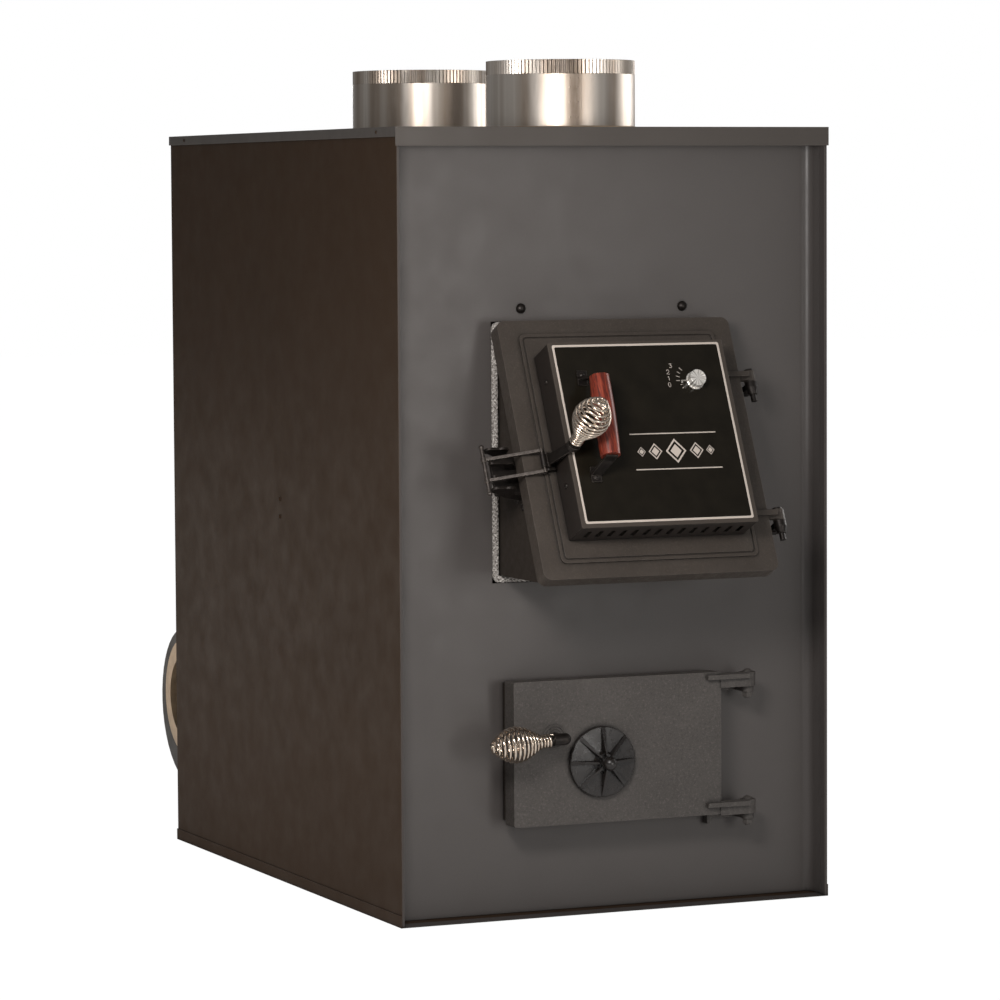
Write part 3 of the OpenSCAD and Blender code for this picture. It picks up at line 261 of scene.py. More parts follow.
def satin_paint(name, colour, rough=0.42, specular=0.35, speckle=0.12, front=None, wear_and_highlight=0.3):
    """Sprayed satin paint: cloudy tone, fine orange peel, a few lighter specks, edges lightened as a painted highlight
    and as paint rubbed thin, and painted shade in gaps and corners.
    The returns round the front opening can have the front sheet's own colour."""
    s = Shader(name, rough, specular=specular)
    cloud = s.noise(3.5, 5, 0.6)
    fine = s.noise(900, 2, 0.5)
    tone = s.ramp(cloud, [(0.3, shade(colour, 0.96)), (0.7, shade(colour, 1.05))])
    tone = s.mix(s.spread(fine, 0.45, 0.75, 0.0, speckle), tone, shade(colour, 1.9))
    specks = s.spread(s.cells(260), 0.02, 0.05, 0.35, 0.0)
    tone = s.mix(specks, tone, shade(colour, 1.8))
    # Parts inside the casing's width and in front of its front plane take the front colour; on the sides' paint this
    # is the lighter tone, the rest being darker as painted shade.
    if front:
        x, y, _ = s.xyz()
        inside = s.math("LESS_THAN", s.math("ABSOLUTE", x), CASE_X - 0.0004)
        tone = s.mix(s.math("MULTIPLY", inside, s.math("LESS_THAN", y, CASE_FRONT)), tone, front)
    # Edges lightened as a painted highlight and as wear; gaps and inside corners darkened as painted shade.
    s.colour(s.painted_corner_shade(s.mix(s.math("MULTIPLY", s.wear_and_highlight(), wear_and_highlight), tone, shade(front or colour, 3.0))))
    s.rough(s.spread(s.noise(26, 4), 0.3, 0.7, rough - 0.05, rough + 0.07))
    s.bump(s.noise(1300, 2), 0.12, 0.0002)
    return s.mat


def casting(name, colour, rough=0.55, grain=0.5, specular=0.3, wear_and_highlight=0.25):
    """Painted sand casting: pebbly skin with small pits."""
    s = Shader(name, rough, specular=specular)
    cloud = s.noise(14, 6, 0.65)
    tone = s.ramp(cloud, [(0.28, shade(colour, 0.82)), (0.55, colour), (0.75, shade(colour, 1.2))])
    grit = s.noise(520, 5, 0.7)
    tone = s.mix(s.spread(grit, 0.5, 0.72, 0.0, 0.4), tone, shade(colour, 1.7))
    coarse = s.noise(260, 3, 0.7)
    tone = s.mix(s.spread(coarse, 0.55, 0.7, 0.0, 0.5 * grain), tone, shade(colour, 1.8))
    tone = s.mix(s.spread(coarse, 0.45, 0.3, 0.0, 0.5 * grain), tone, shade(colour, 0.55))
    # Edges lightened as a painted highlight and as wear; gaps and inside corners darkened as painted shade.
    s.colour(s.painted_corner_shade(s.mix(s.math("MULTIPLY", s.wear_and_highlight(), wear_and_highlight), tone, shade(colour, 3.2))))
    s.rough(s.spread(s.noise(90, 3), 0.3, 0.7, rough - 0.08, rough + 0.1))
    pits = s.spread(s.cells(240), 0.0, 0.5, 0.0, 1.0)
    first = s.bump(pits, 0.25 * grain, 0.0006)
    s.bump(grit, 0.7 * grain, 0.0006, first)
    return s.mat


def galvanized(name):
    """Zinc-coated sheet: broad soft stripes up the hoop, a painted reflection with light streaks and warm painted
    shade, and a faint spangle.
    """
    s = Shader(name, 0.32, 0.9)
    # Soft stripes up the hoop, light and warm dark: painted reflection and painted shade.
    reflection_band_noise = s.noise(5.0, 2, 0.4, s.stretch((6.0, 6.0, 0.12)))
    painted_reflection_bands = s.ramp(reflection_band_noise, [(0.3, srgb("7d6f62")), (0.45, srgb("a5978a")), (0.58, srgb("cdc5bc")),
                            (0.75, srgb("9a8c7e"))])
    tone = s.mix(s.spread(s.cells(90), 0.1, 0.6, 0.0, 0.07), painted_reflection_bands, srgb("b3aaa0"))
    fine = s.noise(180, 3, 0.6, s.stretch((1.0, 1.0, 0.15)))
    s.colour(s.mix(s.spread(fine, 0.45, 0.7, 0.0, 0.12), tone, srgb("c9c0b6")))
    s.rough(s.spread(fine, 0.3, 0.7, 0.31, 0.39))
    s.bump(fine, 0.02, 0.0002)
    return s.mat


def bright_wire(name):
    """Nickel-plated spring wire."""
    s = Shader(name, 0.14, 1.0)
    tone = s.noise(180, 3)
    s.colour(s.ramp(tone, [(0.3, srgb("b6a596")), (0.7, srgb("e6dacb"))]))
    s.rough(s.spread(s.noise(700, 3), 0.3, 0.7, 0.08, 0.22))
    s.bump(s.noise(1600, 2), 0.06, 0.0001)
    return s.mat


def worn_rod_with_highlight(name, colour, rough=0.36, edge_wear_and_highlight=0.3):
    """Blackened steel, its edges lightened: rubbed bright, and a painted highlight."""
    s = Shader(name, rough, 0.65)
    wear_and_highlight = s.noise(160, 5, 0.65)
    tone = s.ramp(wear_and_highlight, [(0.35, shade(colour, 0.55)), (0.6, colour), (0.8, shade(colour, 1.7))])
    # Edges lightened: a painted highlight, and steel rubbed bright.
    s.colour(s.mix(s.math("MULTIPLY", s.wear_and_highlight(), edge_wear_and_highlight), tone, srgb("a0958a")))
    s.rough(s.spread(s.noise(500, 3), 0.3, 0.7, rough - 0.08, rough + 0.12))
    s.bump(s.noise(900, 3), 0.12, 0.0002)
    return s.mat


def gloss_black(name, colour, rim, rough=0.12):
    """Glossy printed face of the draft panel, with a duller painted rim outside its border."""
    s = Shader(name, rough, specular=0.16)
    face = s.ramp(s.noise(40, 4), [(0.3, shade(colour, 0.85)), (0.7, shade(colour, 1.2))])
    x, _, z = s.xyz(s.level(centre=DOOR_TOP))
    past_x = s.math("GREATER_THAN", s.math("ABSOLUTE", x), BORDER_X * MM)
    down = s.math("SUBTRACT", z, DOOR_TOP[2] - BORDER_MID * MM)
    past_z = s.math("GREATER_THAN", s.math("ABSOLUTE", down), BORDER_Z * MM)
    outside = s.math("MAXIMUM", past_x, past_z)
    tone = s.mix(outside, face, rim)
    # Edges lightened as a painted highlight and as wear.
    s.colour(s.mix(s.math("MULTIPLY", s.wear_and_highlight(), 0.4), tone, shade(rim, 2.5)))
    gloss = s.spread(s.noise(70, 4), 0.3, 0.7, rough, rough + 0.05)
    s.rough(s.math("ADD", gloss, s.math("MULTIPLY", outside, 0.3)))
    s.bump(s.noise(300, 2), 0.015, 0.0002)
    return s.mat


def hardwood(name):
    """Oiled reddish hardwood with long grain down the slope of the door."""
    s = Shader(name, 0.4, specular=0.3)
    slope = s.level()
    grain = s.noise(46, 7, 0.62, s.stretch((9.0, 9.0, 0.55), slope), 0.7)
    fibre = s.noise(520, 4, 0.6, s.stretch((4.0, 4.0, 0.25), slope))
    tone = s.ramp(grain, [(0.34, srgb("2a0e09")), (0.45, srgb("561e14")), (0.57, srgb("7a2f1e")),
                          (0.7, srgb("94462f"))])
    s.colour(s.mix(s.spread(fibre, 0.5, 0.75, 0.0, 0.55), tone, srgb("431a10")))
    s.rough(s.spread(fibre, 0.3, 0.7, 0.28, 0.45))
    s.bump(fibre, 0.22, 0.0003)
    s.coat(0.15, 0.2)
    return s.mat


def braided_rope(name):
    """Dusty white glass-fibre yarn."""
    s = Shader(name, 0.92, specular=0.15)
    lint = s.noise(1500, 4, 0.7)
    tone = s.ramp(s.noise(420, 5, 0.7), [(0.36, srgb("5c5753")), (0.5, srgb("96918c")), (0.66, srgb("d6d2cd"))])
    s.colour(s.mix(s.spread(lint, 0.5, 0.75, 0.0, 0.5), tone, srgb("6f6963")))
    s.bump(lint, 0.8, 0.0006)
    return s.mat


def firebrick_clay(name):
    """Pale refractory clay with dark grog."""
    s = Shader(name, 0.9, specular=0.2)
    tone = s.ramp(s.noise(30, 6, 0.7), [(0.3, srgb("9c7a58")), (0.6, srgb("c39c72")), (0.8, srgb("d8b88c"))])
    s.colour(s.mix(s.spread(s.cells(300), 0.0, 0.25, 0.6, 0.0), tone, srgb("6d523a")))
    s.bump(s.noise(420, 5, 0.7), 0.6, 0.0008)
    return s.mat


def plain_metal(name, colour, rough, metal=1.0):
    """Unpainted sheet or turned metal with a cloudy tone."""
    s = Shader(name, rough, metal)
    s.colour(s.ramp(s.noise(60, 5), [(0.3, shade(colour, 0.8)), (0.7, shade(colour, 1.12))]))
    s.rough(s.spread(s.noise(240, 4), 0.3, 0.7, rough - 0.07, rough + 0.1))
    s.bump(s.noise(700, 3), 0.08, 0.0002)
    return s.mat


def spun_face(name, centre):
    """Turned aluminium with a fine bump: bright and dark wedges fan out from the centre, a painted highlight and
    painted shade standing for its turned sheen.
    """
    s = Shader(name, 0.3, 0.6)
    centred = s.nodes.new("ShaderNodeMapping")
    centred.vector_type = "POINT"
    centred.inputs["Location"].default_value = tuple(-c for c in centre)
    s.link(s.coords, centred.inputs["Vector"])
    x, _, z = s.xyz(s.level(centred.outputs["Vector"]))
    angle = s.math("ARCTAN2", z, x)
    fan = s.nodes.new("ShaderNodeCombineXYZ")
    s.link(angle, fan.inputs[0])
    # Bright and dark wedges by angle: painted highlight and painted shade of the turned sheen.
    painted_sheen_wedge = s.noise(5.0, 2, 0.5, fan.outputs[0])
    s.colour(s.ramp(painted_sheen_wedge, [(0.33, srgb("77716a")), (0.46, srgb("cfcac3")), (0.58, srgb("fbf8f3"))]))
    s.bump(s.noise(3000, 1), 0.1, 0.0001)
    return s.mat


MATS = {
    # Sides: the front sheet's paint, darkened and browned as painted shade for the sides turned from the light; the
    # returns that face forward take the front sheet's colour.
    "side_paint": satin_paint("side_paint", srgb("33261b"), 0.5, 0.05, 0.1, srgb("464240"), 0.35),
    "front_paint": satin_paint("front_paint", srgb("464240"), 0.4, 0.35),
    "cap_paint": satin_paint("cap_paint", srgb("403b37"), 0.4, 0.3, 0.1, None, 0.5),
    "galvanized": galvanized("galvanized"),
    "plate_steel": casting("plate_steel", srgb("2e2823"), 0.55, 0.2, 0.25),
    "rope_seal": braided_rope("rope_seal"),
    "firebrick": firebrick_clay("firebrick"),
    "cast_iron_black": casting("cast_iron_black", srgb("3b3530"), 0.42, 0.5, 0.3, 0.4),
    "cast_iron_ash": casting("cast_iron_ash", srgb("423e3b"), 0.5, 1.3, 0.35, 0.45),
    "dark_hardware": worn_rod_with_highlight("dark_hardware", srgb("26211e"), 0.4, 0.18),
    "rod_steel": worn_rod_with_highlight("rod_steel", srgb("4a4440"), 0.34, 0.4),
    "spinner_black": casting("spinner_black", srgb("191513"), 0.28, 0.15, 0.5, 0.35),
    "nickel_wire": bright_wire("nickel_wire"),
    "black_sheet": satin_paint("black_sheet", srgb("221d1a"), 0.42, 0.25, 0.05),
    "black_gloss": gloss_black("black_gloss", srgb("17140f"), srgb("3f3934")),
    "spun_aluminium": spun_face("spun_aluminium", KNOB_FACE),
    "wood_red": hardwood("wood_red"),
    "inlet_tan": plain_metal("inlet_tan", srgb("b09a80"), 0.4, 0.5),
    "wheel_zinc": plain_metal("wheel_zinc", srgb("a19c95"), 0.35),
    "bimetal": plain_metal("bimetal", srgb("a97f4c"), 0.3),
    "cream_ink": satin_paint("cream_ink", srgb("b5aaa0"), 0.45, 0.4, 0.03),
}


def dress(obj, slot):
    obj.data.materials.clear()
    obj.data.materials.append(MATS[slot])


def smooth(mesh, degrees=35):
    for face in mesh.polygons:
        face.use_smooth = True
    mesh.set_sharp_from_angle(angle=math.radians(degrees))


for node_name, node_obj in NODES.items():
    dress(node_obj, SLOT_OF[node_name])
    smooth(node_obj.data, 30)


def new_piece(name, mesh, body, slot, replaces=()):
    """Adds a mesh as a piece of the model, riding on a body."""
    obj = bpy.data.objects.new(name, mesh)
    bpy.context.scene.collection.objects.link(obj)
    dress(obj, slot)
    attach(obj, body)
    if replaces:
        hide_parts(*replaces)
    return obj


# Places on the object: millimetres in, metres out
DOOR = Matrix.Translation(DOOR_TOP) @ Matrix.Rotation(-TILT, 4, "X")


def on_door(x, down, out):
    """Point across, down the slope and out over the feed door's face."""
    return DOOR @ Vector((x * MM, -out * MM, -down * MM))


def turn(axis, degrees):
    return Matrix.Rotation(math.radians(degrees), 4, axis)


def shift(x, y, z):
    return Matrix.Translation((x * MM, y * MM, z * MM))


# Mesh helpers
class Build:
    """Collects vertices and faces of one piece."""

    def __init__(self):
        self.verts, self.faces, self.count = [], [], 0

    def add(self, verts, faces):
        self.verts.append(np.asarray(verts, float).reshape(-1, 3))
        self.faces += [tuple(int(i) + self.count for i in f) for f in faces]
        self.count += len(self.verts[-1])

    def mesh(self, name, degrees=40):
        mesh = bpy.data.meshes.new(name)
        mesh.from_pydata(np.vstack(self.verts).tolist(), [], self.faces)
        mesh.validate()
        bm = bmesh.new()
        bm.from_mesh(mesh)
        bmesh.ops.recalc_face_normals(bm, faces=bm.faces)
        bm.to_mesh(mesh)
        bm.free()
        smooth(mesh, degrees)
        return mesh

    def tube(self, path, refs, radius, sides=8, closed=False, flat=1.0):
        """Sweeps a round or flattened section along a path; refs point away from the path at each step."""
        path, refs = np.asarray(path, float), np.asarray(refs, float)
        n = len(path)
        radius = np.broadcast_to(np.asarray(radius, float), (n,))
        if closed:
            along = np.roll(path, -1, 0) - np.roll(path, 1, 0)
        else:
            along = np.gradient(path, axis=0)
        along /= np.linalg.norm(along, axis=1)[:, None]
        u = refs - (refs * along).sum(1)[:, None] * along
        u /= np.linalg.norm(u, axis=1)[:, None]
        v = np.cross(along, u)
        a = np.arange(sides) * 2 * math.pi / sides
        rings = (path[:, None, :] + radius[:, None, None] * flat * np.cos(a)[None, :, None] * u[:, None, :]
                 + radius[:, None, None] * np.sin(a)[None, :, None] * v[:, None, :])
        faces = []
        for i in range(n if closed else n - 1):
            j = (i + 1) % n
            faces += [(i * sides + k, i * sides + (k + 1) % sides, j * sides + (k + 1) % sides, j * sides + k)
                      for k in range(sides)]
        if not closed:
            faces += [tuple(range(sides))[::-1], tuple((n - 1) * sides + k for k in range(sides))]
        self.add(rings, faces)

    def lathe(self, place, profile, steps=32, ring=False):
        """Turns a profile of (radius, height) in millimetres about the place's z axis. A ring has no end discs."""
        rings = [[place @ Vector((r * MM * math.cos(a), r * MM * math.sin(a), h * MM)) for a in
                  [2 * math.pi * k / steps for k in range(steps)]] for r, h in profile]
        faces = [(i * steps + k, i * steps + (k + 1) % steps, (i + 1) * steps + (k + 1) % steps, (i + 1) * steps + k)
                 for i in range(len(profile) - 1) for k in range(steps)]
        last = (len(profile) - 1) * steps
        if ring:
            faces += [(last + k, last + (k + 1) % steps, (k + 1) % steps, k) for k in range(steps)]
        else:
            faces += [tuple(range(steps)), tuple(last + k for k in range(steps))[::-1]]
        self.add([v for loop in rings for v in loop], faces)

    def prism(self, place, outline, low, high, hole=None):
        """Extrudes an outline in millimetres from low to high along the place's z axis.
        A hole is an inner loop with as many points."""
        n = len(outline)
        loops = [outline] if hole is None else [outline, hole]
        verts = [place @ Vector((x * MM, y * MM, h * MM)) for loop in loops for h in (low, high) for x, y in loop]
        faces = []
        for b in range(0, 2 * n * len(loops), 2 * n):
            faces += [(b + k, b + (k + 1) % n, b + n + (k + 1) % n, b + n + k) for k in range(n)]
        if hole is None:
            faces += [tuple(range(n)), tuple(range(n, 2 * n))]
        else:
            for b in (0, n):
                faces += [(b + k, b + (k + 1) % n, 2 * n + b + (k + 1) % n, 2 * n + b + k) for k in range(n)]
        self.add(verts, faces)


def rounded_loop(half_a, half_b, corner, step):
    """Evenly spaced points and outward directions round a rounded rectangle, in its own plane."""
    pts, outs = [], []
    for cx, cy, start, length, way in (
            (half_a - corner, half_b - corner, 0, 2 * (half_a - corner), (-1, 0)),
            (-half_a + corner, half_b - corner, 90, 2 * (half_b - corner), (0, -1)),
            (-half_a + corner, -half_b + corner, 180, 2 * (half_a - corner), (1, 0)),
            (half_a - corner, -half_b + corner, 270, 2 * (half_b - corner), (0, 1))):
        arc = max(4, round(math.pi / 2 * corner / step))
        for k in range(arc):
            a = math.radians(start + 90 * k / arc)
            pts.append((cx + corner * math.cos(a), cy + corner * math.sin(a)))
            outs.append((math.cos(a), math.sin(a)))
        a = math.radians(start + 90)
        line = max(2, round(length / step))
        for k in range(line):
            d = length * k / line
            pts.append((cx + corner * math.cos(a) + way[0] * d, cy + corner * math.sin(a) + way[1] * d))
            outs.append((math.cos(a), math.sin(a)))
    return np.array(pts), np.array(outs)


# Braided glass-fibre ropes, in shares of the rope's own half sizes: a strand, its distance from the rope's middle,
# how much it weaves in and out, and the core
STRAND, STRAND_OUT, STRAND_WEAVE, CORE_OUT = 0.2, 0.79, 0.07, 0.66
STRANDS_EACH_WAY, CORE_SIDES = 4, 12


def braided_loop(name, centre, across, up, half_a, half_b, thick, deep, body, replaces, pitch, step):
    """Rope round an opening: eight woven strands over a core. Thick lies in the loop's plane, deep across it."""
    across, up = np.array(across, float), np.array(up, float)
    deep_way = np.cross(across, up)
    flat_pts, flat_outs = rounded_loop(half_a, half_b, thick * 1.2, step)
    path = np.array(centre) + MM * (flat_pts[:, :1] * across + flat_pts[:, 1:] * up)
    outs = flat_outs[:, :1] * across + flat_outs[:, 1:] * up
    gone = np.linalg.norm(np.roll(flat_pts, -1, 0) - flat_pts, axis=1)
    total = gone.sum()
    turns = max(1, round(total / pitch))
    phase = 2 * math.pi * turns * (np.cumsum(gone) - gone) / total
    strand = STRAND * thick
    piece = Build()
    for way in (-1, 1):
        for i in range(STRANDS_EACH_WAY):
            a = way * phase + math.pi / 2 * i
            lift = STRAND_OUT + STRAND_WEAVE * way * np.cos(4 * phase)
            ring = (np.cos(a) * lift * thick * MM)[:, None] * outs + (np.sin(a) * lift * deep * MM)[:, None] * deep_way
            piece.tube(path + ring, ring, 1.12 * strand * MM, 6, True, 0.85)
    core = [path + CORE_OUT * MM * (thick * math.cos(a) * outs + deep * math.sin(a) * deep_way)
            for a in np.arange(CORE_SIDES) * math.pi / (CORE_SIDES // 2)]
    n = len(path)
    faces = [(k * n + i, k * n + (i + 1) % n, (k + 1) % CORE_SIDES * n + (i + 1) % n, (k + 1) % CORE_SIDES * n + i)
             for k in range(CORE_SIDES) for i in range(n)]
    piece.add(np.vstack(core), faces)
    return new_piece(name, piece.mesh(name, 70), body, "rope_seal", replaces)


# Ropes of the doors: width and depth, the ash door's play in its groove, and the feed door's run and depth on the door
ASH_ROPE_WIDE, ASH_ROPE_PLAY = 11.7, 0.6
FEED_ROPE_WIDE, FEED_ROPE_DEEP = 14.6, 15.4
FEED_ROPE_TOP, FEED_ROPE_FOOT, FEED_ROPE_OUT = 8.3, 357.1, -16.3


def box_mm(node):
    low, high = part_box(node)
    return [c / MM for c in low], [c / MM for c in high]


def add_ropes():
    low, high = box_mm("chute_rope")
    rope = high[1] - low[1]
    mid = [(a + b) / 2 for a, b in zip(low, high)]
    braided_loop("chute_rope_braid", [c * MM for c in mid], (1, 0, 0), (0, 0, 1),
                 (high[0] - low[0] - rope) / 2, (high[2] - low[2] - rope) / 2, rope / 2, rope / 2, "root",
                 ["chute_rope"], pitch=26, step=1.7)
    low, high = box_mm("ash_door_gasket")
    wide, deep = ASH_ROPE_WIDE, high[1] - low[1] - ASH_ROPE_PLAY
    mid = [(a + b) / 2 for a, b in zip(low, high)]
    braided_loop("ash_door_rope_braid", [c * MM for c in mid], (1, 0, 0), (0, 0, 1),
                 (high[0] - low[0] - wide) / 2, (high[2] - low[2] - wide) / 2, wide / 2, deep / 2, "ash_door",
                 ["ash_door_gasket"], pitch=34, step=2.6)
    low, high = box_mm("feed_door_gasket")
    wide, deep = FEED_ROPE_WIDE, FEED_ROPE_DEEP
    centre = on_door(0, (FEED_ROPE_TOP + FEED_ROPE_FOOT) / 2, FEED_ROPE_OUT)
    up = DOOR.to_3x3() @ Vector((0, 0, 1))
    braided_loop("feed_door_rope_braid", list(centre), (1, 0, 0), list(up),
                 (high[0] - low[0] - wide) / 2, (FEED_ROPE_FOOT - FEED_ROPE_TOP - wide) / 2, wide / 2, deep / 2,
                 "feed_door", ["feed_door_gasket"], pitch=40, step=3.0)


# Coil handles: one wire that winds a neck, swells and closes in at the tip
WIRE, NECK_R, MAX_R, TIP_R = 3.4, 9.5, 25.0, 6.0
COIL_LEN, NECK_LEN, NECK_TURNS, BULGE_TURNS = 90.0, 13.0, 3, 12
# Share of the bulge's length that swells, how slowly it starts, and the steps of a turn
SWELL, SWELL_POWER, COIL_STEPS = 0.52, 1.3, 28
# Where each coil begins, on the end of its rod
LATCH_COIL = (DOOR @ shift(-125.0, -67.89, -205.0) @ turn("X", 90) @ turn("X", -16) @ turn("Y", 6)
              @ shift(0, 0, 1.3))
ASH_COIL = shift(-95, -476, 242) @ turn("Y", -93.3) @ shift(0, 0, 14.3)


def coil_point(t):
    neck_part = NECK_TURNS / (NECK_TURNS + BULGE_TURNS)
    a = 2 * math.pi * (NECK_TURNS + BULGE_TURNS) * t
    if t < neck_part:
        z, r = WIRE + NECK_LEN * t / neck_part, NECK_R - WIRE / 2
    else:
        u = (t - neck_part) / (1 - neck_part)
        z = WIRE + NECK_LEN + (COIL_LEN - NECK_LEN - WIRE) * u
        if u < SWELL:
            r = NECK_R - WIRE / 2 + (MAX_R - NECK_R) * math.sin(math.pi / 2 * u / SWELL) ** SWELL_POWER
        else:
            r = TIP_R - WIRE / 2 + (MAX_R - TIP_R) * math.cos(math.pi / 2 * (u - SWELL) / (1 - SWELL))
    return Vector((r * math.cos(a), r * math.sin(a), z)) * MM


def add_coil(name, place, body, node):
    steps = COIL_STEPS * (NECK_TURNS + BULGE_TURNS)
    pts = [Vector(((NECK_R - WIRE / 2) * MM, 0, 0))] + [coil_point(i / steps) for i in range(steps + 1)]
    path = np.array([place @ p for p in pts])
    turned = place.to_3x3()
    refs = np.array([turned @ Vector((p.x, p.y, 0)) for p in pts])
    piece = Build()
    piece.tube(path, refs, WIRE / 2 * MM, 10)
    new_piece(name, piece.mesh(name, 60), body, "nickel_wire", [node])


# Printed border, marks and numbers on the draft panel
def on_panel(x, down, lift=0.0):
    """Frame lying on the draft panel's face: x across, y up the slope, z out of it."""
    return DOOR @ shift(x, -BOX_OUT - lift, -down) @ turn("X", 90)


def rectangle(half_a, half_b, corner=1.0, step=2.0):
    return [tuple(p) for p in rounded_loop(half_a, half_b, corner, step)[0]]


def add_border():
    piece = Build()
    place = on_panel(0, BORDER_MID)
    outer = rectangle(BORDER_X, BORDER_Z, 2.5, 6.0)
    inner = [(x * (1 - BORDER_WIDE / BORDER_X), y * (1 - BORDER_WIDE / BORDER_Z)) for x, y in outer]
    piece.prism(place, outer, 0.0, BORDER_INK, inner)
    new_piece("panel_border", piece.mesh("panel_border"), "feed_door", "cream_ink")


def stroke(piece, place, points, width):
    """Printed line of an even width through a list of points, with square ends."""
    for (x0, y0), (x1, y1) in zip(points, points[1:]):
        long = math.hypot(x1 - x0, y1 - y0) or 1.0
        ux, uy = (x1 - x0) / long, (y1 - y0) / long
        px, py, e = -uy * width / 2, ux * width / 2, width * 0.35
        piece.prism(place, [(x0 - ux * e + px, y0 - uy * e + py), (x1 + ux * e + px, y1 + uy * e + py),
                            (x1 + ux * e - px, y1 + uy * e - py), (x0 - ux * e - px, y0 - uy * e - py)], 0.0, INK)


# Ticks round the knob as (degrees, inner and outer radius), numbers as (number, x, y) from the knob's middle,
# the numbers' width, height and line width, and their lines in shares of that width and height
TICKS = ((135, 22, 27), (150, 22.5, 26.5), (164, 21.5, 26.5), (178, 21.5, 26.5), (193, 19, 22), (207, 19, 22))
NUMBERS = ((3, -33, 19.5), (2, -38.5, 10.5), (1, -39, 1.5), (0, -39.5, -7.5))
DIGIT_WIDE, DIGIT_HIGH, DIGIT_LINE = 4.4, 5.8, 0.85
DIGITS = {
    1: [[(0.25, 0.8), (0.55, 1.0), (0.55, 0.0)]],
    2: [[(0.05, 0.8), (0.25, 1.0), (0.7, 1.0), (0.85, 0.8), (0.85, 0.62), (0.05, 0.0), (0.9, 0.0)]],
    3: [[(0.05, 0.95), (0.85, 0.95), (0.4, 0.58), (0.85, 0.4), (0.8, 0.1), (0.5, 0.0), (0.05, 0.1)]],
    0: [[(0.3, 0.0), (0.08, 0.25), (0.08, 0.75), (0.3, 1.0), (0.6, 1.0), (0.85, 0.75), (0.85, 0.25), (0.6, 0.0),
         (0.3, 0.0)]],
}


def add_dial_marks():
    """Ticks round the draft knob with plain numbers beside the main ones."""
    piece = Build()
    place = on_panel(*KNOB_AT)
    for degrees, inner, outer in TICKS:
        a = math.radians(degrees)
        stroke(piece, place, [(r * math.cos(a), r * math.sin(a)) for r in (inner, outer)], DIGIT_LINE)
    for number, x, y in NUMBERS:
        for line in DIGITS[number]:
            stroke(piece, place, [(x + DIGIT_WIDE * u, y + DIGIT_HIGH * v) for u, v in line], DIGIT_LINE)
    new_piece("dial_marks", piece.mesh("dial_marks"), "feed_door", "cream_ink")


# Ornament: its middle across and down the panel, lozenges as (x, half width), and the two rules
ORNAMENT_AT = (28, 211)
LOZENGES = ((0, 15), (-30, 10), (30, 10), (-50, 6), (50, 6))
RULE_HALF, RULE_APART, RULE_WIDE = 62, 25, 1.6


def lozenge(x, half):
    high = half * 1.15
    return [(x + half, 0), (x, high), (x - half, 0), (x, -high)]


def add_ornament():
    """A plain row of lozenges between two rules, where the real panel is printed."""
    piece = Build()
    place = on_panel(*ORNAMENT_AT)
    for x, size in LOZENGES:
        piece.prism(place, lozenge(x, size), 0.0, INK, lozenge(x, size * 0.8))
        piece.prism(place, lozenge(x, size * 0.55), 0.0, INK)
    for y in (-RULE_APART, RULE_APART):
        stroke(piece, place, [(-RULE_HALF, y), (RULE_HALF, y)], RULE_WIDE)
    new_piece("panel_ornament", piece.mesh("panel_ornament"), "feed_door", "cream_ink")


# Profiles of a spot weld and of a bead of sealant, and the heights of the welds over the collar's foot
SPOT = [(0.1, 0.3), (0.8, 0.25), (1.4, 0.0), (1.4, -0.4)]
BEAD = [(101.7, -0.2), (104.2, -0.2), (103.6, 1.6), (101.7, 2.6)]
SPOT_HEIGHTS = (14, 34, 54, 66)
SEAM_DEGREES = 12


def add_collar_seam(name, y, first):
    """Lap seam up a duct collar: the lapping sheet's edge and its spot welds, from the first angle on."""
    piece = Build()
    centre = shift(0, y, DUCT_FOOT)
    start, stop = math.radians(first), math.radians(first + SEAM_DEGREES)
    arc = [start + (stop - start) * k / 10 for k in range(11)]
    loop = [(math.cos(a) * (DUCT_R - 0.2), math.sin(a) * (DUCT_R - 0.2)) for a in arc]
    loop += [(math.cos(a) * (DUCT_R + 0.35), math.sin(a) * (DUCT_R + 0.35)) for a in reversed(arc)]
    piece.prism(centre, loop, 1.2, DUCT_TOP - DUCT_FOOT)
    for a in (math.radians(first + 3), math.radians(first + SEAM_DEGREES - 3)):
        for z in SPOT_HEIGHTS:
            spot = centre @ shift((DUCT_R + 0.3) * math.cos(a), (DUCT_R + 0.3) * math.sin(a), z)
            spot = spot @ Matrix.Rotation(a, 4, "Z") @ turn("Y", 90)
            piece.lathe(spot, SPOT, 12)
    new_piece(name, piece.mesh(name), "root", "galvanized")


def add_collar_feet():
    """Beads of yellowed sealant round the feet of the duct collars."""
    for name, y in (("front_collar_sealant", FRONT_DUCT_Y), ("rear_collar_sealant", REAR_DUCT_Y)):
        piece = Build()
        piece.lathe(shift(0, y, DUCT_FOOT), BEAD, 72, True)
        new_piece(name, piece.mesh(name), "root", "inlet_tan")


# Rings of the ash door's boss: radius and distance in front of the door's face
BOSS_RINGS = ((10.6, 3.0), (14.6, 1.6))


def add_boss_rings():
    """Two raised rings cast round the latch shaft's hole in the ash door."""
    piece = Build()
    for radius, out in BOSS_RINGS:
        centre = shift(SHAFT_AT[0], ASH_FACE - out, SHAFT_AT[1]) @ turn("X", 90)
        profile = [(radius - 0.8, -0.3), (radius - 0.3, 0.9), (radius + 0.3, 0.9), (radius + 0.8, -0.3)]
        piece.lathe(centre, profile, 48, True)
    new_piece("ash_boss_rings", piece.mesh("ash_boss_rings"), "ash_door", "cast_iron_ash")


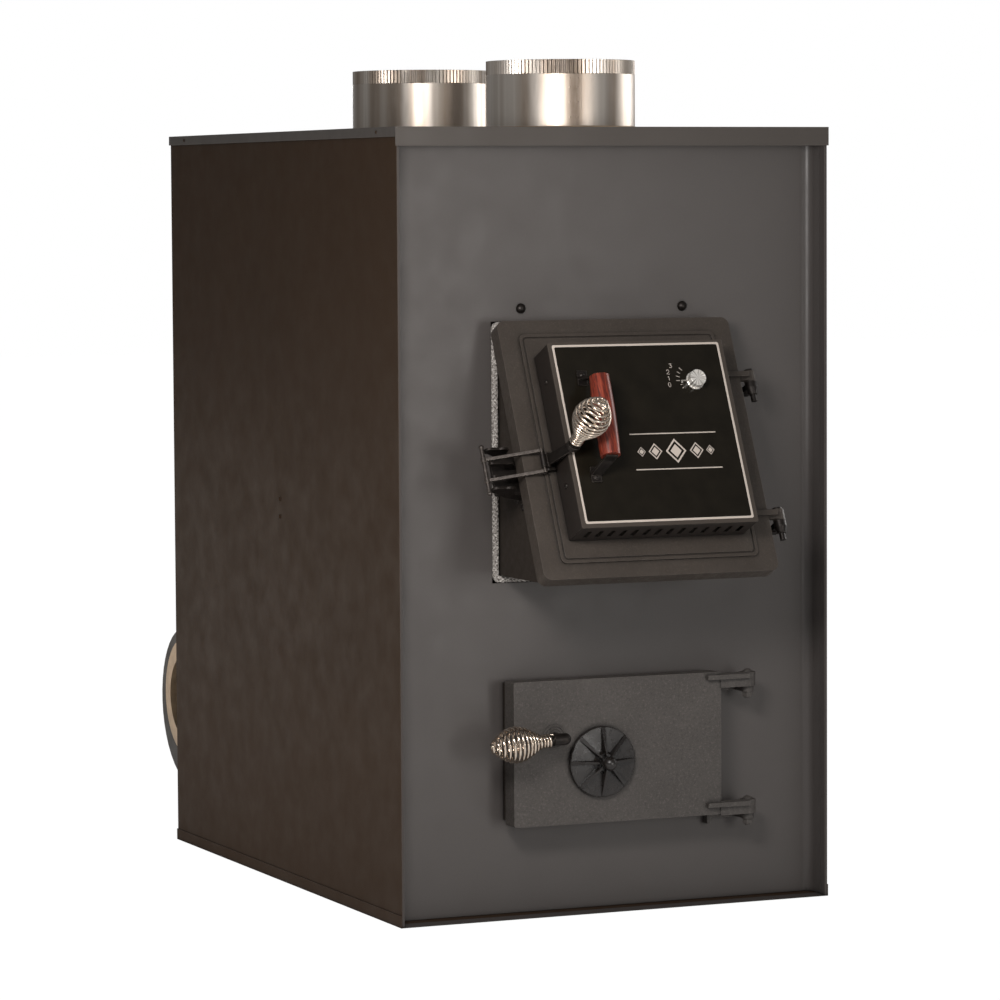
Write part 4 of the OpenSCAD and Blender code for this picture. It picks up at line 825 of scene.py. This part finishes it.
add_ropes()
add_coil("latch_coil_wire", LATCH_COIL, "latch_lever", "latch_coil_handle")
add_coil("ash_coil_wire", ASH_COIL, "ash_latch", "ash_coil_handle")
add_border()
add_dial_marks()
add_ornament()
add_boss_rings()
add_collar_seam("front_collar_seam", FRONT_DUCT_Y, 250)
add_collar_seam("rear_collar_seam", REAR_DUCT_Y, 40)
add_collar_feet()


# Stage and light: the floor's size in metres, how white it is to the camera and how much of that covers its shading,
# and the world's level for diffuse light and in reflections
FLOOR_SIZE, FLOOR_WHITE, FLOOR_SEEN = 40, 1.03, 0.97
WORLD_LIGHT, WORLD_GLOSS = 0.22, 0.24
WHITE = (1, 1, 1, 1)
# Lamps: name, place, point aimed at, width and height, watts, colour
LAMPS = (
    ("key", (1.0, -4.2, 0.7), (-0.1, -0.4, 0.6), (0.8, 1.2), 25, (1.0, 0.97, 0.94)),
    ("near", (-0.8, -1.45, 1.05), (-0.1, -0.45, 0.75), (0.4, 0.3), 15, (1.0, 0.97, 0.95)),
    ("front", (-1.0, -4.8, 2.3), (-0.1, -0.4, 0.7), (0.5, 1.6), 16, (1.0, 0.98, 0.96)),
    ("right", (3.0, 0.3, 1.6), (0.1, 0.1, 0.8), (1.6, 2.0), 45, (1.0, 0.98, 0.96)),
    ("low", (-1.2, 0.1, 0.35), (-1.2, 0.1, 0.0), (0.5, 1.2), 7, (1.0, 0.9, 0.8)),
    ("back", (-0.9, 1.5, 0.3), (-0.32, 0.5, 0.3), (0.4, 0.5), 1.2, (1.0, 0.9, 0.8)),
    ("rear", (1.4, 4.6, 1.9), (0.0, 0.4, 0.6), (1.4, 1.4), 70, (1.0, 0.98, 0.96)),
)


def add_stage():
    bpy.ops.mesh.primitive_plane_add(size=FLOOR_SIZE, location=(0, 0, 0))
    floor = bpy.context.object
    floor.name = "floor"
    s = Shader("floor", 0.7, specular=0.1)
    tone = s.ramp(s.noise(0.8, 3), [(0.3, (0.93, 0.93, 0.93)), (0.7, (0.96, 0.96, 0.96))])
    s.colour(tone)
    glow = s.nodes.new("ShaderNodeEmission")
    glow.inputs["Color"].default_value = WHITE
    glow.inputs["Strength"].default_value = FLOOR_WHITE
    path = s.nodes.new("ShaderNodeLightPath")
    blend = s.nodes.new("ShaderNodeMixShader")
    seen = s.math("MULTIPLY", path.outputs["Is Camera Ray"], FLOOR_SEEN)
    s.link(seen, blend.inputs[0])
    s.link(s.bsdf.outputs[0], blend.inputs[1])
    s.link(glow.outputs[0], blend.inputs[2])
    s.link(blend.outputs[0], s.nodes["Material Output"].inputs["Surface"])
    floor.data.materials.append(s.mat)


def add_world():
    """White to the camera, with plain grey levels for diffuse light and for reflections."""
    world = bpy.data.worlds.new("world")
    bpy.context.scene.world = world
    world.use_nodes = True
    tree = world.node_tree
    path = tree.nodes.new("ShaderNodeLightPath")
    level = tree.nodes.new("ShaderNodeMapRange")
    level.inputs["To Min"].default_value = WORLD_LIGHT
    level.inputs["To Max"].default_value = WORLD_GLOSS
    tree.links.new(path.outputs["Is Glossy Ray"], level.inputs["Value"])
    seen = tree.nodes.new("ShaderNodeMath")
    seen.operation = "MAXIMUM"
    tree.links.new(path.outputs["Is Camera Ray"], seen.inputs[0])
    tree.links.new(level.outputs["Result"], seen.inputs[1])
    back = tree.nodes["Background"]
    back.inputs["Color"].default_value = WHITE
    tree.links.new(seen.outputs[0], back.inputs["Strength"])


def add_lamp(name, place, target, size, power, colour):
    data = bpy.data.lights.new(name, "AREA")
    data.shape = "RECTANGLE"
    data.size, data.size_y = size
    data.energy = power
    data.color = colour
    lamp = bpy.data.objects.new(name, data)
    lamp.location = place
    aim = Vector(target) - Vector(place)
    lamp.rotation_euler = aim.to_track_quat("-Z", "Y").to_euler()
    lamp.visible_camera = False
    bpy.context.scene.collection.objects.link(lamp)


add_stage()
add_world()
for lamp_values in LAMPS:
    add_lamp(*lamp_values)

bpy.context.scene.view_settings.view_transform = "Standard"
